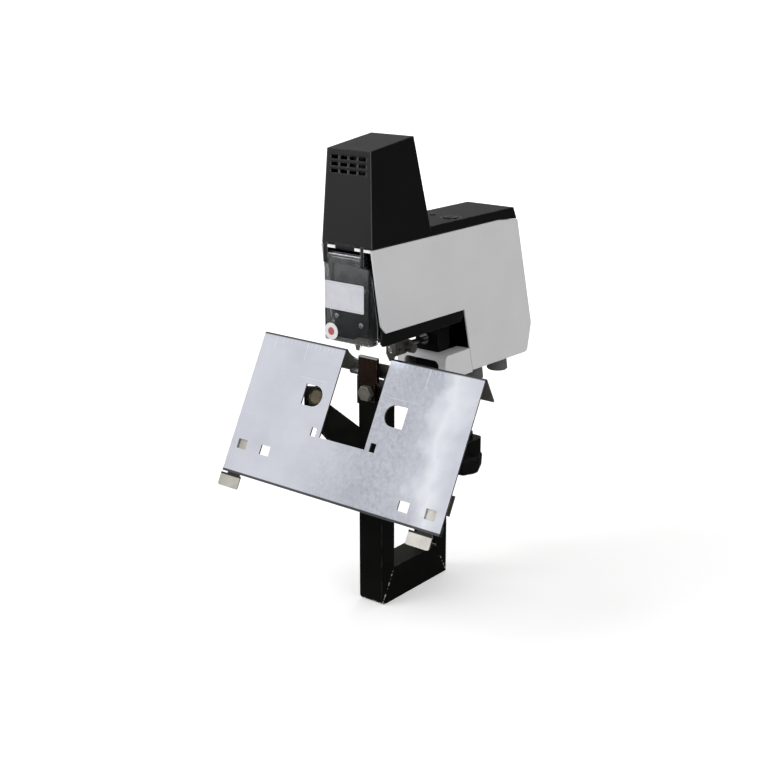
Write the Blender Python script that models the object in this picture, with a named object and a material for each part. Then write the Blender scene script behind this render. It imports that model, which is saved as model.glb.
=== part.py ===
"""Electric saddle stapler that clamps to the edge of a desk.

A welded U frame carries the anvil and the saddle table on its front column,
and the stapling head and its casing on its rear column. A solenoid in the tower
pushes the driver down; the head swings down with it onto the paper.

All lengths are in metres. In this file Y and Z are measured from the staple
line, which is the ridge of the saddle table: X runs to the right along the
ridge, Y runs back towards the rear column, Z runs up. An empty places the
staple line above and in front of the desk clamp's screw, so that the part's
own origin lies on the screw's axis, in the plane of the desk top.
"""

import bpy
import bmesh
from math import acos, cos, pi, radians, sin, tan
from mathutils import Matrix, Vector

for old in list(bpy.data.objects):
    bpy.data.objects.remove(old, do_unlink=True)

# Sizes

# Clearances and roundness
GAP = 0.0003
OVERRUN = 0.002
ROUND_SIDES = 24
SMALL_SIDES = 14
CORNER_STEPS = 4
SHARP_ANGLE = radians(18)

# Casing's outer size, and where it lies from the staple line
COVER_FRONT_Y = -0.031
COVER_LENGTH = 0.2523
COVER_HEIGHT = 0.140
THROAT_CEILING_Z = 0.0242
COVER_BELOW_CEILING_share = 0.46
COVER_BOTTOM_Z = THROAT_CEILING_Z - COVER_BELOW_CEILING_share * COVER_HEIGHT
COVER_TOP_Z = COVER_BOTTOM_Z + COVER_HEIGHT
COVER_END_Y = COVER_FRONT_Y + COVER_LENGTH

# Staple line, seen from the part's origin; the casing stands on the desk with its feet
STAPLE_LINE_Y = -0.147
COVER_ABOVE_DESK = 0.0118
STAPLE_LINE_Z = COVER_ABOVE_DESK - COVER_BOTTOM_Z

# U frame of flat bar
FRAME_WIDTH = 0.0265
COLUMN_FRONT_Y = 0.001
COLUMN_DEPTH = 0.0184
COLUMN_TOP_Z = -0.0295
FRAME_BOTTOM_Z = -0.243
BAR_HEIGHT = 0.0332
THROAT_DEPTH = 0.0656
REAR_COLUMN_DEPTH = 0.017
COLUMN_BELOW_COVER_TOP = 0.0078
FRAME_CORNER = 0.005

COLUMN_BACK_Y = COLUMN_FRONT_Y + COLUMN_DEPTH
REAR_FRONT_Y = COLUMN_BACK_Y + THROAT_DEPTH
REAR_BACK_Y = REAR_FRONT_Y + REAR_COLUMN_DEPTH
REAR_COLUMN_TOP_Z = COVER_TOP_Z - COLUMN_BELOW_COVER_TOP
BAR_TOP_Z = FRAME_BOTTOM_Z + BAR_HEIGHT
HALF_FRAME = FRAME_WIDTH / 2

# Anvil and the bolt that holds it
ANVIL_WIDTH = 0.021
ANVIL_THICKNESS = 0.0035
ANVIL_TOP_Z = -0.0032
ANVIL_HEIGHT = 0.0228
TONGUE_WIDTH = 0.016
TONGUE_HEIGHT = 0.018
GROOVE_WIDTH = 0.0018
GROOVE_DEPTH = 0.0007
GROOVE_SPACING = 0.0016
BOLT_DIAMETER = 0.008
BOLT_HEAD_FLATS = 0.013
BOLT_HEAD_HEIGHT = 0.0053
BOLT_CHAMFER = 0.0007
BOLT_BELOW_ANVIL = 0.010
BOLT_REACH = 0.012

ANVIL_BACK_Y = COLUMN_FRONT_Y - GAP
ANVIL_FRONT_Y = ANVIL_BACK_Y - ANVIL_THICKNESS
BOLT_Z = ANVIL_TOP_Z - ANVIL_HEIGHT - BOLT_BELOW_ANVIL

# Saddle table, one bent sheet; distances down a slope start at the ridge
TABLE_WIDTH = 0.250
RIDGE_APEX_Z = 0.0012
FRONT_SLOPE = radians(62.3)
REAR_SLOPE = radians(61.6)
FRONT_LENGTH = 0.1375
REAR_LENGTH = 0.0278
TABLE_SHEET = 0.0015
RIDGE_BEND = 0.0018
NOTCH_WIDTH = 0.052
NOTCH_LENGTH = 0.085
REAR_NOTCH_LENGTH = 0.012
REAR_NOTCH_CORNER = 0.008
D_HOLE_X = 0.036
D_HOLE_WIDTH = 0.022
D_HOLE_HEIGHT = 0.0195
D_HOLE_DOWN = 0.0405
D_HOLE_ROUND_share = 0.495
SLOT_X = 0.031
SLOT_WIDTH = 0.006
SLOT_HEIGHT = 0.008
SLOT_DOWN = 0.0775
WINDOW_WIDTH = 0.011
WINDOW_HEIGHT = 0.009
WINDOW_SPACING = 0.0285
WINDOW_FROM_EDGE = 0.014
LEFT_WINDOW_DOWN = 0.105
RIGHT_WINDOW_DOWN = 0.118

# Table hinge under the rear flange
TABLE_PIVOT_Y = 0.0065
TABLE_PIVOT_Z = -0.0215
HINGE_ROD_RADIUS = 0.0017
KNUCKLE_RADIUS = 0.0030
KNUCKLE_FOOT = 0.0026
EAR_RADIUS = 0.0027
EAR_THICKNESS = 0.0025
EAR_SETBACK = 0.0008
EAR_NECK = 0.0038
EAR_SHOULDER_DROP = 0.0010
EAR_HEIGHT = 0.0285
EAR_DEPTH = 0.0145

# Paper stops and the rail that they slide behind
STOP_SHEET = 0.0012
RAIL_SHEET = 0.0015
RAIL_HEIGHT = 0.0085
RAIL_FOOT = 0.003
RAIL_INSET = 0.0005
TAB_WIDTH = 0.0245
TAB_DROP = 0.014
TAB_CORNER = 0.002
TAB_CLEARANCE = 0.0015
STOP_BODY_WIDTH = 0.015
STOP_BODY_ABOVE_WINDOW = 0.004
LEFT_STOP_FROM_EDGE = 0.013
LEFT_TAB_FROM_EDGE = 0.010
RIGHT_STOP_FROM_EDGE = 0.0155
RIGHT_TAB_FROM_EDGE = 0.0195
WING_WIDTH = 0.0105
WING_HEIGHT = 0.0175
WING_ABOVE_BODY = 0.012

HALF_TABLE = TABLE_WIDTH / 2
LEFT_STOP_X = LEFT_STOP_FROM_EDGE - HALF_TABLE
LEFT_TAB_X = LEFT_TAB_FROM_EDGE - HALF_TABLE
RIGHT_STOP_X = HALF_TABLE - RIGHT_STOP_FROM_EDGE
RIGHT_TAB_X = HALF_TABLE - RIGHT_TAB_FROM_EDGE

# Arm on the left of the column that the table leans on
SUPPORT_SHEET = 0.003
SUPPORT_TOP_Z = -0.038
SUPPORT_DROP = 0.092
SUPPORT_BEND_Y = 0.006
SUPPORT_END_X = -0.062
SUPPORT_ROOT_INSET = 0.0015
SUPPORT_OUTLINE_shares = [
    (1.0, 0.457), (0.66, 0.43), (0.25, 0.163), (0.16, 0.0), (0.0, 0.0),
    (0.0, 0.28), (0.35, 0.62), (0.70, 0.90), (1.0, 1.0)]
DOME_NUT_FLATS = 0.013
DOME_NUT_HEIGHT = 0.005
DOME_HEIGHT = 0.004
DOME_NUT_BELOW_TOP = 0.012
DOME_NUT_ALONG_share = 0.80

# Desk clamp
CLAMP_ARM_WIDTH = 0.0254
CLAMP_ARM_TOP_Z = -0.120
CLAMP_ARM_HEIGHT = 0.015
CLAMP_ARM_END = 0.017
CLAMP_ARM_CORNER = 0.006
CLAMP_BOSS_RADIUS = 0.0095
CLAMP_BOSS_HEIGHT = 0.007
CLAMP_SCREW_RADIUS = 0.006
CLAMP_PAD_RADIUS = 0.014
CLAMP_PAD_HEIGHT = 0.008
CLAMP_PAD_BELOW_DESK = 0.014
CLAMP_TIP_RADIUS = 0.004
CLAMP_TIP_DEPTH = 0.004
CLAMP_PAD_CHAMFER = 0.0015
KNOB_RADIUS = 0.020
KNOB_HEIGHT = 0.019
KNOB_LOBES = 7
KNOB_LOBE_DEPTH = 0.0012
KNOB_POINTS = 42
KNOB_OUTLINE_shares = [(0.0, 0.94), (0.12, 1.0), (0.62, 0.97), (0.86, 0.88), (1.0, 0.66)]

CLAMP_Y = -STAPLE_LINE_Y
DESK_Z = -STAPLE_LINE_Z
PAD_TOP_Z = DESK_Z - CLAMP_PAD_BELOW_DESK
PAD_BOTTOM_Z = PAD_TOP_Z - CLAMP_PAD_HEIGHT
KNOB_TOP_Z = CLAMP_ARM_TOP_Z - CLAMP_ARM_HEIGHT - 3 * GAP

# Casing, front to back and bottom to top
COVER_HALF = 0.028
COVER_SHEET = 0.0015
COVER_OUTLINE_shares = [
    (0.0, 0.9986), (0.749, 1.0), (0.880, 0.977), (1.0, 0.204), (0.977, 0.0),
    (0.6025, 0.0136), (0.5406, 0.4564), (0.0769, 0.4636), (0.0495, 0.5179)]
COVER_NOSE_ROUND = 0.008
COVER_REAR_ROUND = 0.004
COVER_EDGE = 0.0005

# Chassis plates inside the casing
CHASSIS_SHEET = 0.002
CHASSIS_OUTLINE_shares = [
    (0.0733, 0.3764), (0.5272, 0.3764), (0.5545, 0.4371), (0.6143, 0.0236),
    (0.9632, 0.0236), (0.9842, 0.2014), (0.8680, 0.9536), (0.7452, 0.9764),
    (0.0214, 0.9764), (0.0634, 0.5729), (0.0634, 0.3943)]
CHASSIS_OUTER_X = COVER_HALF - COVER_SHEET - GAP
CHASSIS_INNER_X = CHASSIS_OUTER_X - CHASSIS_SHEET
CHASSIS_TOP_Z = COVER_BOTTOM_Z + CHASSIS_OUTLINE_shares[7][1] * COVER_HEIGHT
CHASSIS_BOTTOM_Z = COVER_BOTTOM_Z + CHASSIS_OUTLINE_shares[3][1] * COVER_HEIGHT

# Cross bolts between the chassis plates: two through the column, one for the spring
CROSS_BOLT_RADIUS = 0.004
CROSS_BOLT_NECK = 0.003
COLUMN_BOSS_RADIUS = 0.007
COLUMN_BOLT_DOWN = 0.008
COLUMN_BOLT_SPACING = 0.018

# Top plate that the solenoid stands on
TOP_PLATE_THICKNESS = 0.0028
TOP_PLATE_FRONT_Y = -0.024
TOP_PLATE_LENGTH = 0.144

# Top cover: tower and deck
TOP_WALL = 0.0022
TOP_COVER_SEAT = 0.0003
TOWER_FRONT_Y = -0.0301
TOWER_LEAN_FRONT = 0.0036
TOWER_FOOT_DEPTH = 0.0838
TOWER_TOP_DEPTH = 0.0585
TOWER_FRONT_HEIGHT = 0.0810
TOWER_REAR_HEIGHT = 0.0887
TOWER_FOOT_HALF = 0.0276
TOWER_TOP_HALF = 0.0233
DECK_HEIGHT = 0.0084
DECK_TOP_HALF = 0.02675
DECK_BEFORE_COVER_END = 0.0318
DECK_END_SLOPE = 0.0042
DECK_DIP = 0.0028
TOWER_EDGE = 0.0018
TOWER_EDGE_STEPS = 2
VENT_ROWS = 3
VENT_COLUMNS = 4
VENT_WIDTH = 0.0082
VENT_HEIGHT = 0.0030
VENT_STEP_X = 0.0100
VENT_STEP_Z = 0.0058
VENT_BELOW_TOP = 0.0055
DIAL_X = 0.014
DIAL_BEFORE_PLATE_END = 0.019
DIAL_RADIUS = 0.0068
DIAL_PROUD = 0.0008
DIAL_SHAFT_RADIUS = 0.003
DIAL_SLOT_WIDTH = 0.0016
DIAL_SLOT_DEPTH = 0.0012
DIAL_HEIGHT = 0.0050

DIAL_Y = TOP_PLATE_FRONT_Y + TOP_PLATE_LENGTH - DIAL_BEFORE_PLATE_END
DECK_FOOT_END_Y = COVER_END_Y - DECK_BEFORE_COVER_END
DECK_END_Y = DECK_FOOT_END_Y - DECK_END_SLOPE
TOP_COVER_Z = COVER_TOP_Z + TOP_COVER_SEAT
DECK_TOP_Z = TOP_COVER_Z + DECK_HEIGHT

# Lugs and tab under the tower front, that the white strip is notched for
LUG_SPANS = [(-0.026, -0.021), (0.0156, 0.019)]
LUG_BACK_Y = -0.0262
LUG_FRONT_Y = -0.0306
LUG_DROP = 0.0161
TAB_SPAN = (-0.012, 0.009)
TAB_BACK_Y = -0.0284
TAB_BELOW = 0.0029
STRIP_HEIGHT = 0.0024
STRIP_FRONT_Y = -0.0310
STRIP_BACK_Y = -0.0243

# Clear guard, hung from a pin between the lugs
GUARD_HALF = 0.026
GUARD_FRONT_Y = -0.031
GUARD_WALL = 0.002
GUARD_BOTTOM_Z = 0.0158
GUARD_SIDE_BELOW_LUGS = 0.0008
GUARD_SIDE_DEPTH = 0.011
GUARD_SIDE_TOP_DEPTH = 0.0016
GUARD_SIDE_KNEE_Z = 0.031
GUARD_CORNER = 0.003
GUARD_RIM_HEIGHT = 0.0032
GUARD_RIM_EXTRA = 0.001
GUARD_PIN_Y = -0.0283
GUARD_PIN_ABOVE_LUG_END = 0.0075
GUARD_PIN_RADIUS = 0.0012
GUARD_BARREL_RADIUS = 0.0024
TONGUE_X = 0.0124
GUARD_TONGUE_WIDTH = 0.0064
GUARD_TONGUE_DROP = 0.0046
TONGUE_TAPER_share = 0.6

LUG_END_Z = TOP_COVER_Z - LUG_DROP
GUARD_SIDE_TOP_Z = LUG_END_Z - GUARD_SIDE_BELOW_LUGS
GUARD_PIN_Z = LUG_END_Z + GUARD_PIN_ABOVE_LUG_END

# Lower front cover round the rear column
LOWER_FRONT_Y = 0.0765
LOWER_TOP_BELOW_CEILING = 0.0398
LOWER_WALL = 0.002
LOWER_CORNER = 0.004
LOWER_SLOT_HALF = 0.020
LOWER_SLOT_shares = (0.25203, 0.76016)
LOWER_SLOT_CORNER_share = 0.4
LOWER_SKIRT = 0.0007

LOWER_TOP_Z = THROAT_CEILING_Z - LOWER_TOP_BELOW_CEILING
LOWER_SLOT_BOTTOM_Z, LOWER_SLOT_TOP_Z = [COVER_BOTTOM_Z + share * (LOWER_TOP_Z - COVER_BOTTOM_Z)
                                         for share in LOWER_SLOT_shares]

# Base plate, feet and rear panel
BASE_THICKNESS = 0.002
BASE_BEFORE_COVER_END = 0.0098
FOOT_X = 0.0165
FEET_BEHIND_COLUMN_shares = (0.296731, 0.648785)
FOOT_TOP_RADIUS = 0.0090
FOOT_RADIUS = 0.0103
FOOT_ROUND = 0.0012
PANEL_THICKNESS = 0.002
PANEL_INSET = 0.0015
INLET_ABOVE_PANEL_FOOT = 0.058
INLET_WIDTH = 0.0275
INLET_HEIGHT = 0.0195
INLET_FLANGE = 0.0025
INLET_FLANGE_THICKNESS = 0.0018
INLET_DEPTH = 0.017
INLET_WALL = 0.0022
INLET_PIN_WIDTH = 0.002
INLET_PIN_HEIGHT = 0.005
INLET_PIN_SPACING = 0.007
INLET_PIN_RISE = 0.002
SWITCH_ABOVE_INLET = 0.034
ROCKER_HALF_WIDTH = 0.0065
ROCKER_RADIUS = 0.0090
ROCKER_DEPTH = 0.0015
ROCKER_OUTLINE_shares = [(-0.91, -0.41), (0.0, -0.24), (0.985, -0.17), (0.94, 0.33), (-0.94, 0.33)]

BASE_END_Y = COVER_END_Y - BASE_BEFORE_COVER_END
FRONT_FOOT_Y, REAR_FOOT_Y = [REAR_BACK_Y + share * (COVER_END_Y - REAR_BACK_Y)
                             for share in FEET_BEHIND_COLUMN_shares]
INLET_DOWN = COVER_HEIGHT - INLET_ABOVE_PANEL_FOOT
SWITCH_DOWN = INLET_DOWN - SWITCH_ABOVE_INLET

# Control board on the left chassis plate
BOARD_BEFORE_COVER_END = 0.0593
BOARD_LENGTH = 0.026
BOARD_Z = 0.000
BOARD_HEIGHT = 0.078
BOARD_THICKNESS = 0.0016
BOARD_STANDOFF = 0.0049
STANDOFF_RADIUS = 0.0025
STANDOFF_INSET = 0.004
TRANSFORMER_SIZE = (0.026, 0.0235, 0.028)
TRANSFORMER_CORE_shares = (0.72, 1.0, 0.62)
CAPACITOR_RADIUS = 0.008
CAPACITOR_LENGTH = 0.027
RELAY_SIZE = (0.012, 0.018, 0.010)
PARTS_ABOVE_BOARD_shares = (0.06, 0.48, 0.68)

BOARD_Y = COVER_END_Y - BOARD_BEFORE_COVER_END

# Head arms; the head swings about the pivot
PIVOT_BEFORE_COVER_END = 0.0713
HEAD_PIVOT_Y = COVER_END_Y - PIVOT_BEFORE_COVER_END
HEAD_PIVOT_Z = 0.016
HEAD_ARM_INNER_X = 0.014
HEAD_ARM_SHEET = 0.0025
HEAD_ARM_FRONT_Y = -0.0075
HEAD_ARM_LOW_Z = 0.017
HEAD_ARM_TOP_Z = 0.046
HEAD_ARM_BOSS = 0.011
HEAD_ARM_NECK_Y = 0.100
HEAD_ARM_NECK_LOW_Z = 0.0145
HEAD_ARM_NECK_TOP_Z = 0.044
HEAD_ARM_KNEE_Y = 0.060
PIVOT_PIN_RADIUS = 0.005
PIVOT_PIN_NECK = 0.0035

# Staple and driver plane
BLADE_Y = -0.0019
BLADE_THICKNESS = 0.0007
BLADE_WIDTH = 0.0124
BLADE_HEIGHT = 0.0397
BLADE_BOTTOM_Z = 0.0223
BLADE_FRONT_Y = BLADE_Y - BLADE_THICKNESS / 2 - GAP
BLADE_BACK_Y = BLADE_Y + BLADE_THICKNESS / 2 + GAP

# Head block, its front plate and nose
BLOCK_HALF = 0.019
BLOCK_NECK_HALF = HEAD_ARM_INNER_X - GAP
BLOCK_FRONT_Y = -0.0217
BLOCK_BOTTOM_Z = 0.020
BLOCK_TOP_Z = 0.068
CAVITY_HALF = 0.009
CAVITY_FRONT_Y = -0.015
CAVITY_FLOOR = 0.007
FRONT_PLATE_THICKNESS = 0.0015
FRONT_PLATE_BOTTOM_Z = 0.0175
FRONT_PLATE_TOP_Z = 0.082
FRONT_PLATE_shares = [(-1.0, 0.0), (0.1, 0.0), (0.76, 0.10), (1.0, 0.147), (1.0, 1.0), (-1.0, 1.0)]
NOSE_HALF = 0.0095
NOSE_FRONT_Y = -0.009
NOSE_BACK_Y = 0.006
NOSE_BOTTOM_Z = 0.0105
NOSE_SHOE = 0.0022
NOSE_SLOT_HALF = 0.0065

# Bridge between the head arms, with the upright that backs the blade
BRIDGE_Z = 0.026
BRIDGE_THICKNESS = 0.003
BRIDGE_END_Y = 0.079
GUIDE_DEPTH = 0.0092
GUIDE_TOP_Z = 0.064

# Magazine, staples and pusher
MAGAZINE_HALF = 0.0086
MAGAZINE_WALL = 0.0013
MAGAZINE_FLOOR_Z = 0.013
MAGAZINE_TOP_Z = 0.025
MAGAZINE_END_Y = 0.082
MAGAZINE_RAIL_HALF = 0.0053
MAGAZINE_RAIL_TOP_Z = 0.021
STAPLE_HALF = 0.00635
STAPLE_WIRE = 0.0007
STAPLE_TOP_Z = 0.022
STAPLE_LEG = 0.0076
STRIP_LENGTH = 0.031
PUSHER_LENGTH = 0.010
PUSHER_RISE = 0.0008

# Crosshead and its pin
CROSSHEAD_BOTTOM_Z = 0.048
CROSSHEAD_TOP_Z = 0.066
CROSSHEAD_CLEARANCE = 0.0004
CHEEK_TOP_Z = 0.0805
CHEEK_THICKNESS = 0.0026
CHEEK_DEPTH = 0.0095
PLUNGER_Y = -0.007
PIN_Z = 0.077
PIN_RADIUS = 0.005
PIN_NECK_RADIUS = 0.002

# Solenoid in the tower
PLUNGER_RADIUS = 0.0094
PLUNGER_ABOVE_COVER = 0.0324
PLUNGER_HEIGHT = 0.0455
PUSH_ROD_RADIUS = 0.0045
FOOT_PAD_RADIUS = 0.009
FOOT_PAD_THICKNESS = 0.003
YOKE_HALF_X = 0.020
YOKE_HALF_Y = 0.015
YOKE_PLATE = 0.003
YOKE_HEIGHT = 0.058
COIL_RADIUS = 0.0145
COIL_FLANGE_RADIUS = 0.0150
COIL_FLANGE = 0.002

PLUNGER_BOTTOM_Z = TOP_COVER_Z + PLUNGER_ABOVE_COVER
PLUNGER_TOP_Z = PLUNGER_BOTTOM_Z + PLUNGER_HEIGHT

# Return spring between the middle cross bolt and the bridge
SPRING_Y = 0.068
SPRING_BOLT_BELOW_COVER_TOP = 0.0098
SPRING_WIRE = 0.0016
SPRING_COIL_RADIUS = 0.0048
SPRING_CURLS = 12
SPRING_CURL_POINTS = 9
SPRING_FOOT_Z = 0.034
SPRING_HEAD_BELOW_BOLT = 0.012
SPRING_TAIL_Z = 0.0275
SPRING_HOLE_RADIUS = 0.0015
SPRING_HOOK_TURN = radians(250)
SPRING_HOOK_POINTS = 10

SPRING_BOLT_Z = COVER_TOP_Z - SPRING_BOLT_BELOW_COVER_TOP
SPRING_HEAD_Z = SPRING_BOLT_Z - SPRING_HEAD_BELOW_BOLT

# Back gauge in the throat
GAUGE_ROD_X = -0.001
GAUGE_ROD_Z = -0.004
GAUGE_ROD_RADIUS = 0.0025
GAUGE_ROD_FRONT_Y = 0.0305
GAUGE_COLLAR_RADIUS = 0.0055
GAUGE_COLLAR_LENGTH = 0.003
FINGER_Y = 0.030
FINGER_SHEET = 0.0018
FINGER_LEFT_X = -0.005
FINGER_RIGHT_X = 0.0055
FINGER_TOP_Z = 0.0024
FINGER_HEIGHT = 0.0167
FINGER_POINT_shares = [(1.0, 0.56), (0.69, 1.0), (0.36, 1.0), (0.0, 0.62)]
GAUGE_WING_LENGTH = 0.022
GAUGE_WING_HEIGHT = 0.0115
GAUGE_WING_HOLE = 0.0017
GAUGE_BLOCK_Y = 0.044
GAUGE_BLOCK_LENGTH = 0.014
GAUGE_BLOCK_LEFT_X = -0.007
GAUGE_BLOCK_TOP_Z = 0.0005
GAUGE_BLOCK_HEIGHT = 0.0095
GAUGE_SCREW_RADIUS = 0.0015
GAUGE_SCREW_HEAD = 0.0045
GAUGE_SCREW_LENGTH = 0.007

# Finishes: colour, roughness, metallic
BLACK_PAINT = ((0.012, 0.012, 0.013), 0.38, 0.0)
BLACK_PLASTIC = ((0.022, 0.022, 0.024), 0.50, 0.0)
WHITE_COVER = ((0.60, 0.60, 0.60), 0.42, 0.0)
PLATED_STEEL = ((0.66, 0.68, 0.72), 0.30, 1.0)
DARK_STEEL = ((0.10, 0.09, 0.08), 0.35, 1.0)
BRIGHT_STEEL = ((0.55, 0.56, 0.58), 0.28, 1.0)
NICKEL = ((0.62, 0.59, 0.53), 0.38, 0.9)
RUBBER = ((0.03, 0.03, 0.032), 0.85, 0.0)
CLEAR_PLASTIC = ((0.85, 0.88, 0.90), 0.08, 0.0)
COPPER_COIL = ((0.42, 0.17, 0.07), 0.45, 0.6)
BOARD_GREEN = ((0.02, 0.11, 0.05), 0.55, 0.0)

# Ways that an outline can face: outline's first axis, its second, and its thickness
FACING_X = Matrix(((0, 0, 1, 0), (1, 0, 0, 0), (0, 1, 0, 0), (0, 0, 0, 1)))
FACING_Y = Matrix(((1, 0, 0, 0), (0, 0, 1, 0), (0, 1, 0, 0), (0, 0, 0, 1)))
FACING_Z = Matrix.Identity(4)


def facing(origin, across, along):
    """Frame whose outlines lie on across and along, with their thickness square to both."""
    across = Vector(across).normalized()
    along = Vector(along).normalized()
    depth = across.cross(along)
    frame = Matrix((across, along, depth)).transposed().to_4x4()
    frame.translation = Vector(origin)
    return frame


# Front plate and rear flange of the table: along X, down the slope, into the sheet
DOWN_FRONT = Vector((0, -cos(FRONT_SLOPE), -sin(FRONT_SLOPE)))
DOWN_REAR = Vector((0, cos(REAR_SLOPE), -sin(REAR_SLOPE)))
RIDGE_APEX = Vector((0, 0, RIDGE_APEX_Z))
ON_FRONT_PLATE = facing(RIDGE_APEX, (1, 0, 0), DOWN_FRONT)
ON_REAR_FLANGE = facing(RIDGE_APEX, (-1, 0, 0), DOWN_REAR)
ACROSS_PLATE = facing(RIDGE_APEX, (-1, 0, 0), ON_FRONT_PLATE.col[2].xyz)


# Outlines

def arc(centre, radius, start, end, steps):
    """Points on an arc, both ends included; angles in radians."""
    points = []
    for step in range(steps + 1):
        angle = start + (end - start) * step / steps
        points.append((centre[0] + radius * cos(angle), centre[1] + radius * sin(angle)))
    return points


def rounded(outline, radii, steps=CORNER_STEPS):
    """The outline with each corner named in radii replaced by an arc."""
    result = []
    for index, corner in enumerate(outline):
        radius = radii.get(index, 0)
        if not radius:
            result.append(corner)
            continue
        here = Vector(corner)
        before = (Vector(outline[index - 1]) - here).normalized()
        after = (Vector(outline[(index + 1) % len(outline)]) - here).normalized()
        half = acos(max(-1, min(1, before.dot(after)))) / 2
        centre = here + (before + after).normalized() * radius / sin(half)
        first = here + before * radius / tan(half) - centre
        last = here + after * radius / tan(half) - centre
        sweep = pi - 2 * half
        for step in range(steps + 1):
            share = step / steps
            point = first * sin((1 - share) * sweep) + last * sin(share * sweep)
            result.append(tuple(centre + point / sin(sweep)))
    return result


def signed_area(outline):
    total = 0
    for (ax, ay), (bx, by) in zip(outline, outline[1:] + outline[:1]):
        total += ax * by - bx * ay
    return total / 2


def shifted_corner(before, corner, after, distance):
    """Corner of two neighbouring edges after both move sideways by distance."""
    first = (Vector(corner) - Vector(before)).normalized()
    second = (Vector(after) - Vector(corner)).normalized()
    first_side = Vector((-first.y, first.x))
    second_side = Vector((-second.y, second.x))
    both = (first_side + second_side).normalized()
    return tuple(Vector(corner) + both * distance / both.dot(first_side))


def inset(outline, distance):
    """The closed outline moved inwards by distance."""
    inwards = distance if signed_area(outline) > 0 else -distance
    count = len(outline)
    result = []
    for index in range(count):
        before = outline[index - 1]
        after = outline[(index + 1) % count]
        result.append(shifted_corner(before, outline[index], after, inwards))
    return result


def strip(path, thickness):
    """Closed outline of a sheet of this thickness bent along an open path."""
    sides = []
    for distance in (thickness / 2, -thickness / 2):
        side = []
        for index, point in enumerate(path):
            here = Vector(point)
            if index == 0:
                before = 2 * here - Vector(path[1])
                after = path[1]
            elif index == len(path) - 1:
                before = path[index - 1]
                after = 2 * here - Vector(path[index - 1])
            else:
                before = path[index - 1]
                after = path[index + 1]
            side.append(shifted_corner(before, point, after, distance))
        sides.append(side)
    return sides[0] + sides[1][::-1]


def span(first, second):
    return min(first, second), max(first, second)


def rectangle(low_a, high_a, low_b, high_b):
    return [(low_a, low_b), (high_a, low_b), (high_a, high_b), (low_a, high_b)]


def shared(outline_shares, low_a, size_a, low_b, size_b):
    """An outline of shares laid over a box."""
    return [(low_a + a * size_a, low_b + b * size_b) for a, b in outline_shares]


# Shapes

def prism(shape, outline, low, high, frame=FACING_X):
    """Add an outline extruded from low to high along its frame's third axis."""
    rings = []
    for depth in (low, high):
        rings.append([shape.verts.new(frame @ Vector((a, b, depth))) for a, b in outline])
    shape.faces.new(rings[0])
    shape.faces.new(rings[1])
    count = len(outline)
    for index in range(count):
        following = (index + 1) % count
        shape.faces.new((rings[0][index], rings[0][following], rings[1][following], rings[1][index]))


def block(shape, low, high):
    """Add a box between two corners."""
    prism(shape, rectangle(low[0], high[0], low[1], high[1]), low[2], high[2], FACING_Z)


def turned(shape, profile, start, direction=(0, 0, 1), sides=ROUND_SIDES):
    """Add a turned solid; profile points are (radius, distance along direction)."""
    turn = Vector((0, 0, 1)).rotation_difference(Vector(direction)).to_matrix()
    rings = []
    for radius, along in profile:
        if radius == 0:
            rings.append([shape.verts.new(turn @ Vector((0, 0, along)) + Vector(start))])
            continue
        ring = []
        for side in range(sides):
            angle = 2 * pi * side / sides
            point = Vector((radius * cos(angle), radius * sin(angle), along))
            ring.append(shape.verts.new(turn @ point + Vector(start)))
        rings.append(ring)
    for first, second in zip(rings, rings[1:] + rings[:1]):
        join_rings(shape, first, second)


def join_rings(shape, first, second):
    """Faces between two rings, either of which may be a single point."""
    if len(first) == 1 and len(second) == 1:
        return
    sides = max(len(first), len(second))
    for side in range(sides):
        following = (side + 1) % sides
        if len(first) == 1:
            shape.faces.new((first[0], second[following], second[side]))
        elif len(second) == 1:
            shape.faces.new((first[side], first[following], second[0]))
        else:
            shape.faces.new((first[side], first[following], second[following], second[side]))


def rod(shape, radius, start, direction, length, sides=ROUND_SIDES):
    """Add a plain round bar."""
    turned(shape, [(0, 0), (radius, 0), (radius, length), (0, length)], start, direction, sides)


# Objects

def carrier(name, place, parent=None):
    """Empty on a joint's axis, that the pieces moving about it hang from."""
    empty = bpy.data.objects.new(name, None)
    empty["place"] = place
    start = Vector(parent["place"]) if parent else Vector((0, 0, 0))
    empty.location = Vector(place) - start
    empty.parent = parent
    bpy.context.collection.objects.link(empty)
    return empty


def mesh_from(name, shape):
    bmesh.ops.recalc_face_normals(shape, faces=shape.faces)
    mesh = bpy.data.meshes.new(name)
    shape.to_mesh(mesh)
    shape.free()
    return mesh


def finish(name, colour, roughness, metallic):
    material = bpy.data.materials.new(name)
    material.use_nodes = True
    shader = material.node_tree.nodes["Principled BSDF"]
    shader.inputs["Base Color"].default_value = (*colour, 1)
    shader.inputs["Roughness"].default_value = roughness
    shader.inputs["Metallic"].default_value = metallic
    material.diffuse_color = (*colour, 1)
    return material


def piece(name, shape, look, carried_by):
    """Named object made of a shape drawn in the staple line's frame."""
    mesh = mesh_from(name, shape)
    mesh.materials.append(finish(name + "_finish", *look))
    made = bpy.data.objects.new(name, mesh)
    made.parent = carried_by
    made.location = -Vector(carried_by["place"])
    bpy.context.collection.objects.link(made)
    return made


def work(made, tool, operation="DIFFERENCE"):
    """Cut, join or trim a piece with a tool shape, and keep the result in its mesh."""
    cutter = bpy.data.objects.new("tool", mesh_from("tool", tool))
    cutter.parent = made
    bpy.context.collection.objects.link(cutter)
    change = made.modifiers.new("work", "BOOLEAN")
    change.operation = operation
    change.solver = "EXACT"
    change.object = cutter
    keep_result(made)
    bpy.data.objects.remove(cutter, do_unlink=True)


def keep_result(made):
    """Replace a piece's mesh by what its modifiers make of it."""
    graph = bpy.context.evaluated_depsgraph_get()
    result = bpy.data.meshes.new_from_object(made.evaluated_get(graph))
    made.modifiers.clear()
    made.data = result


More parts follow.
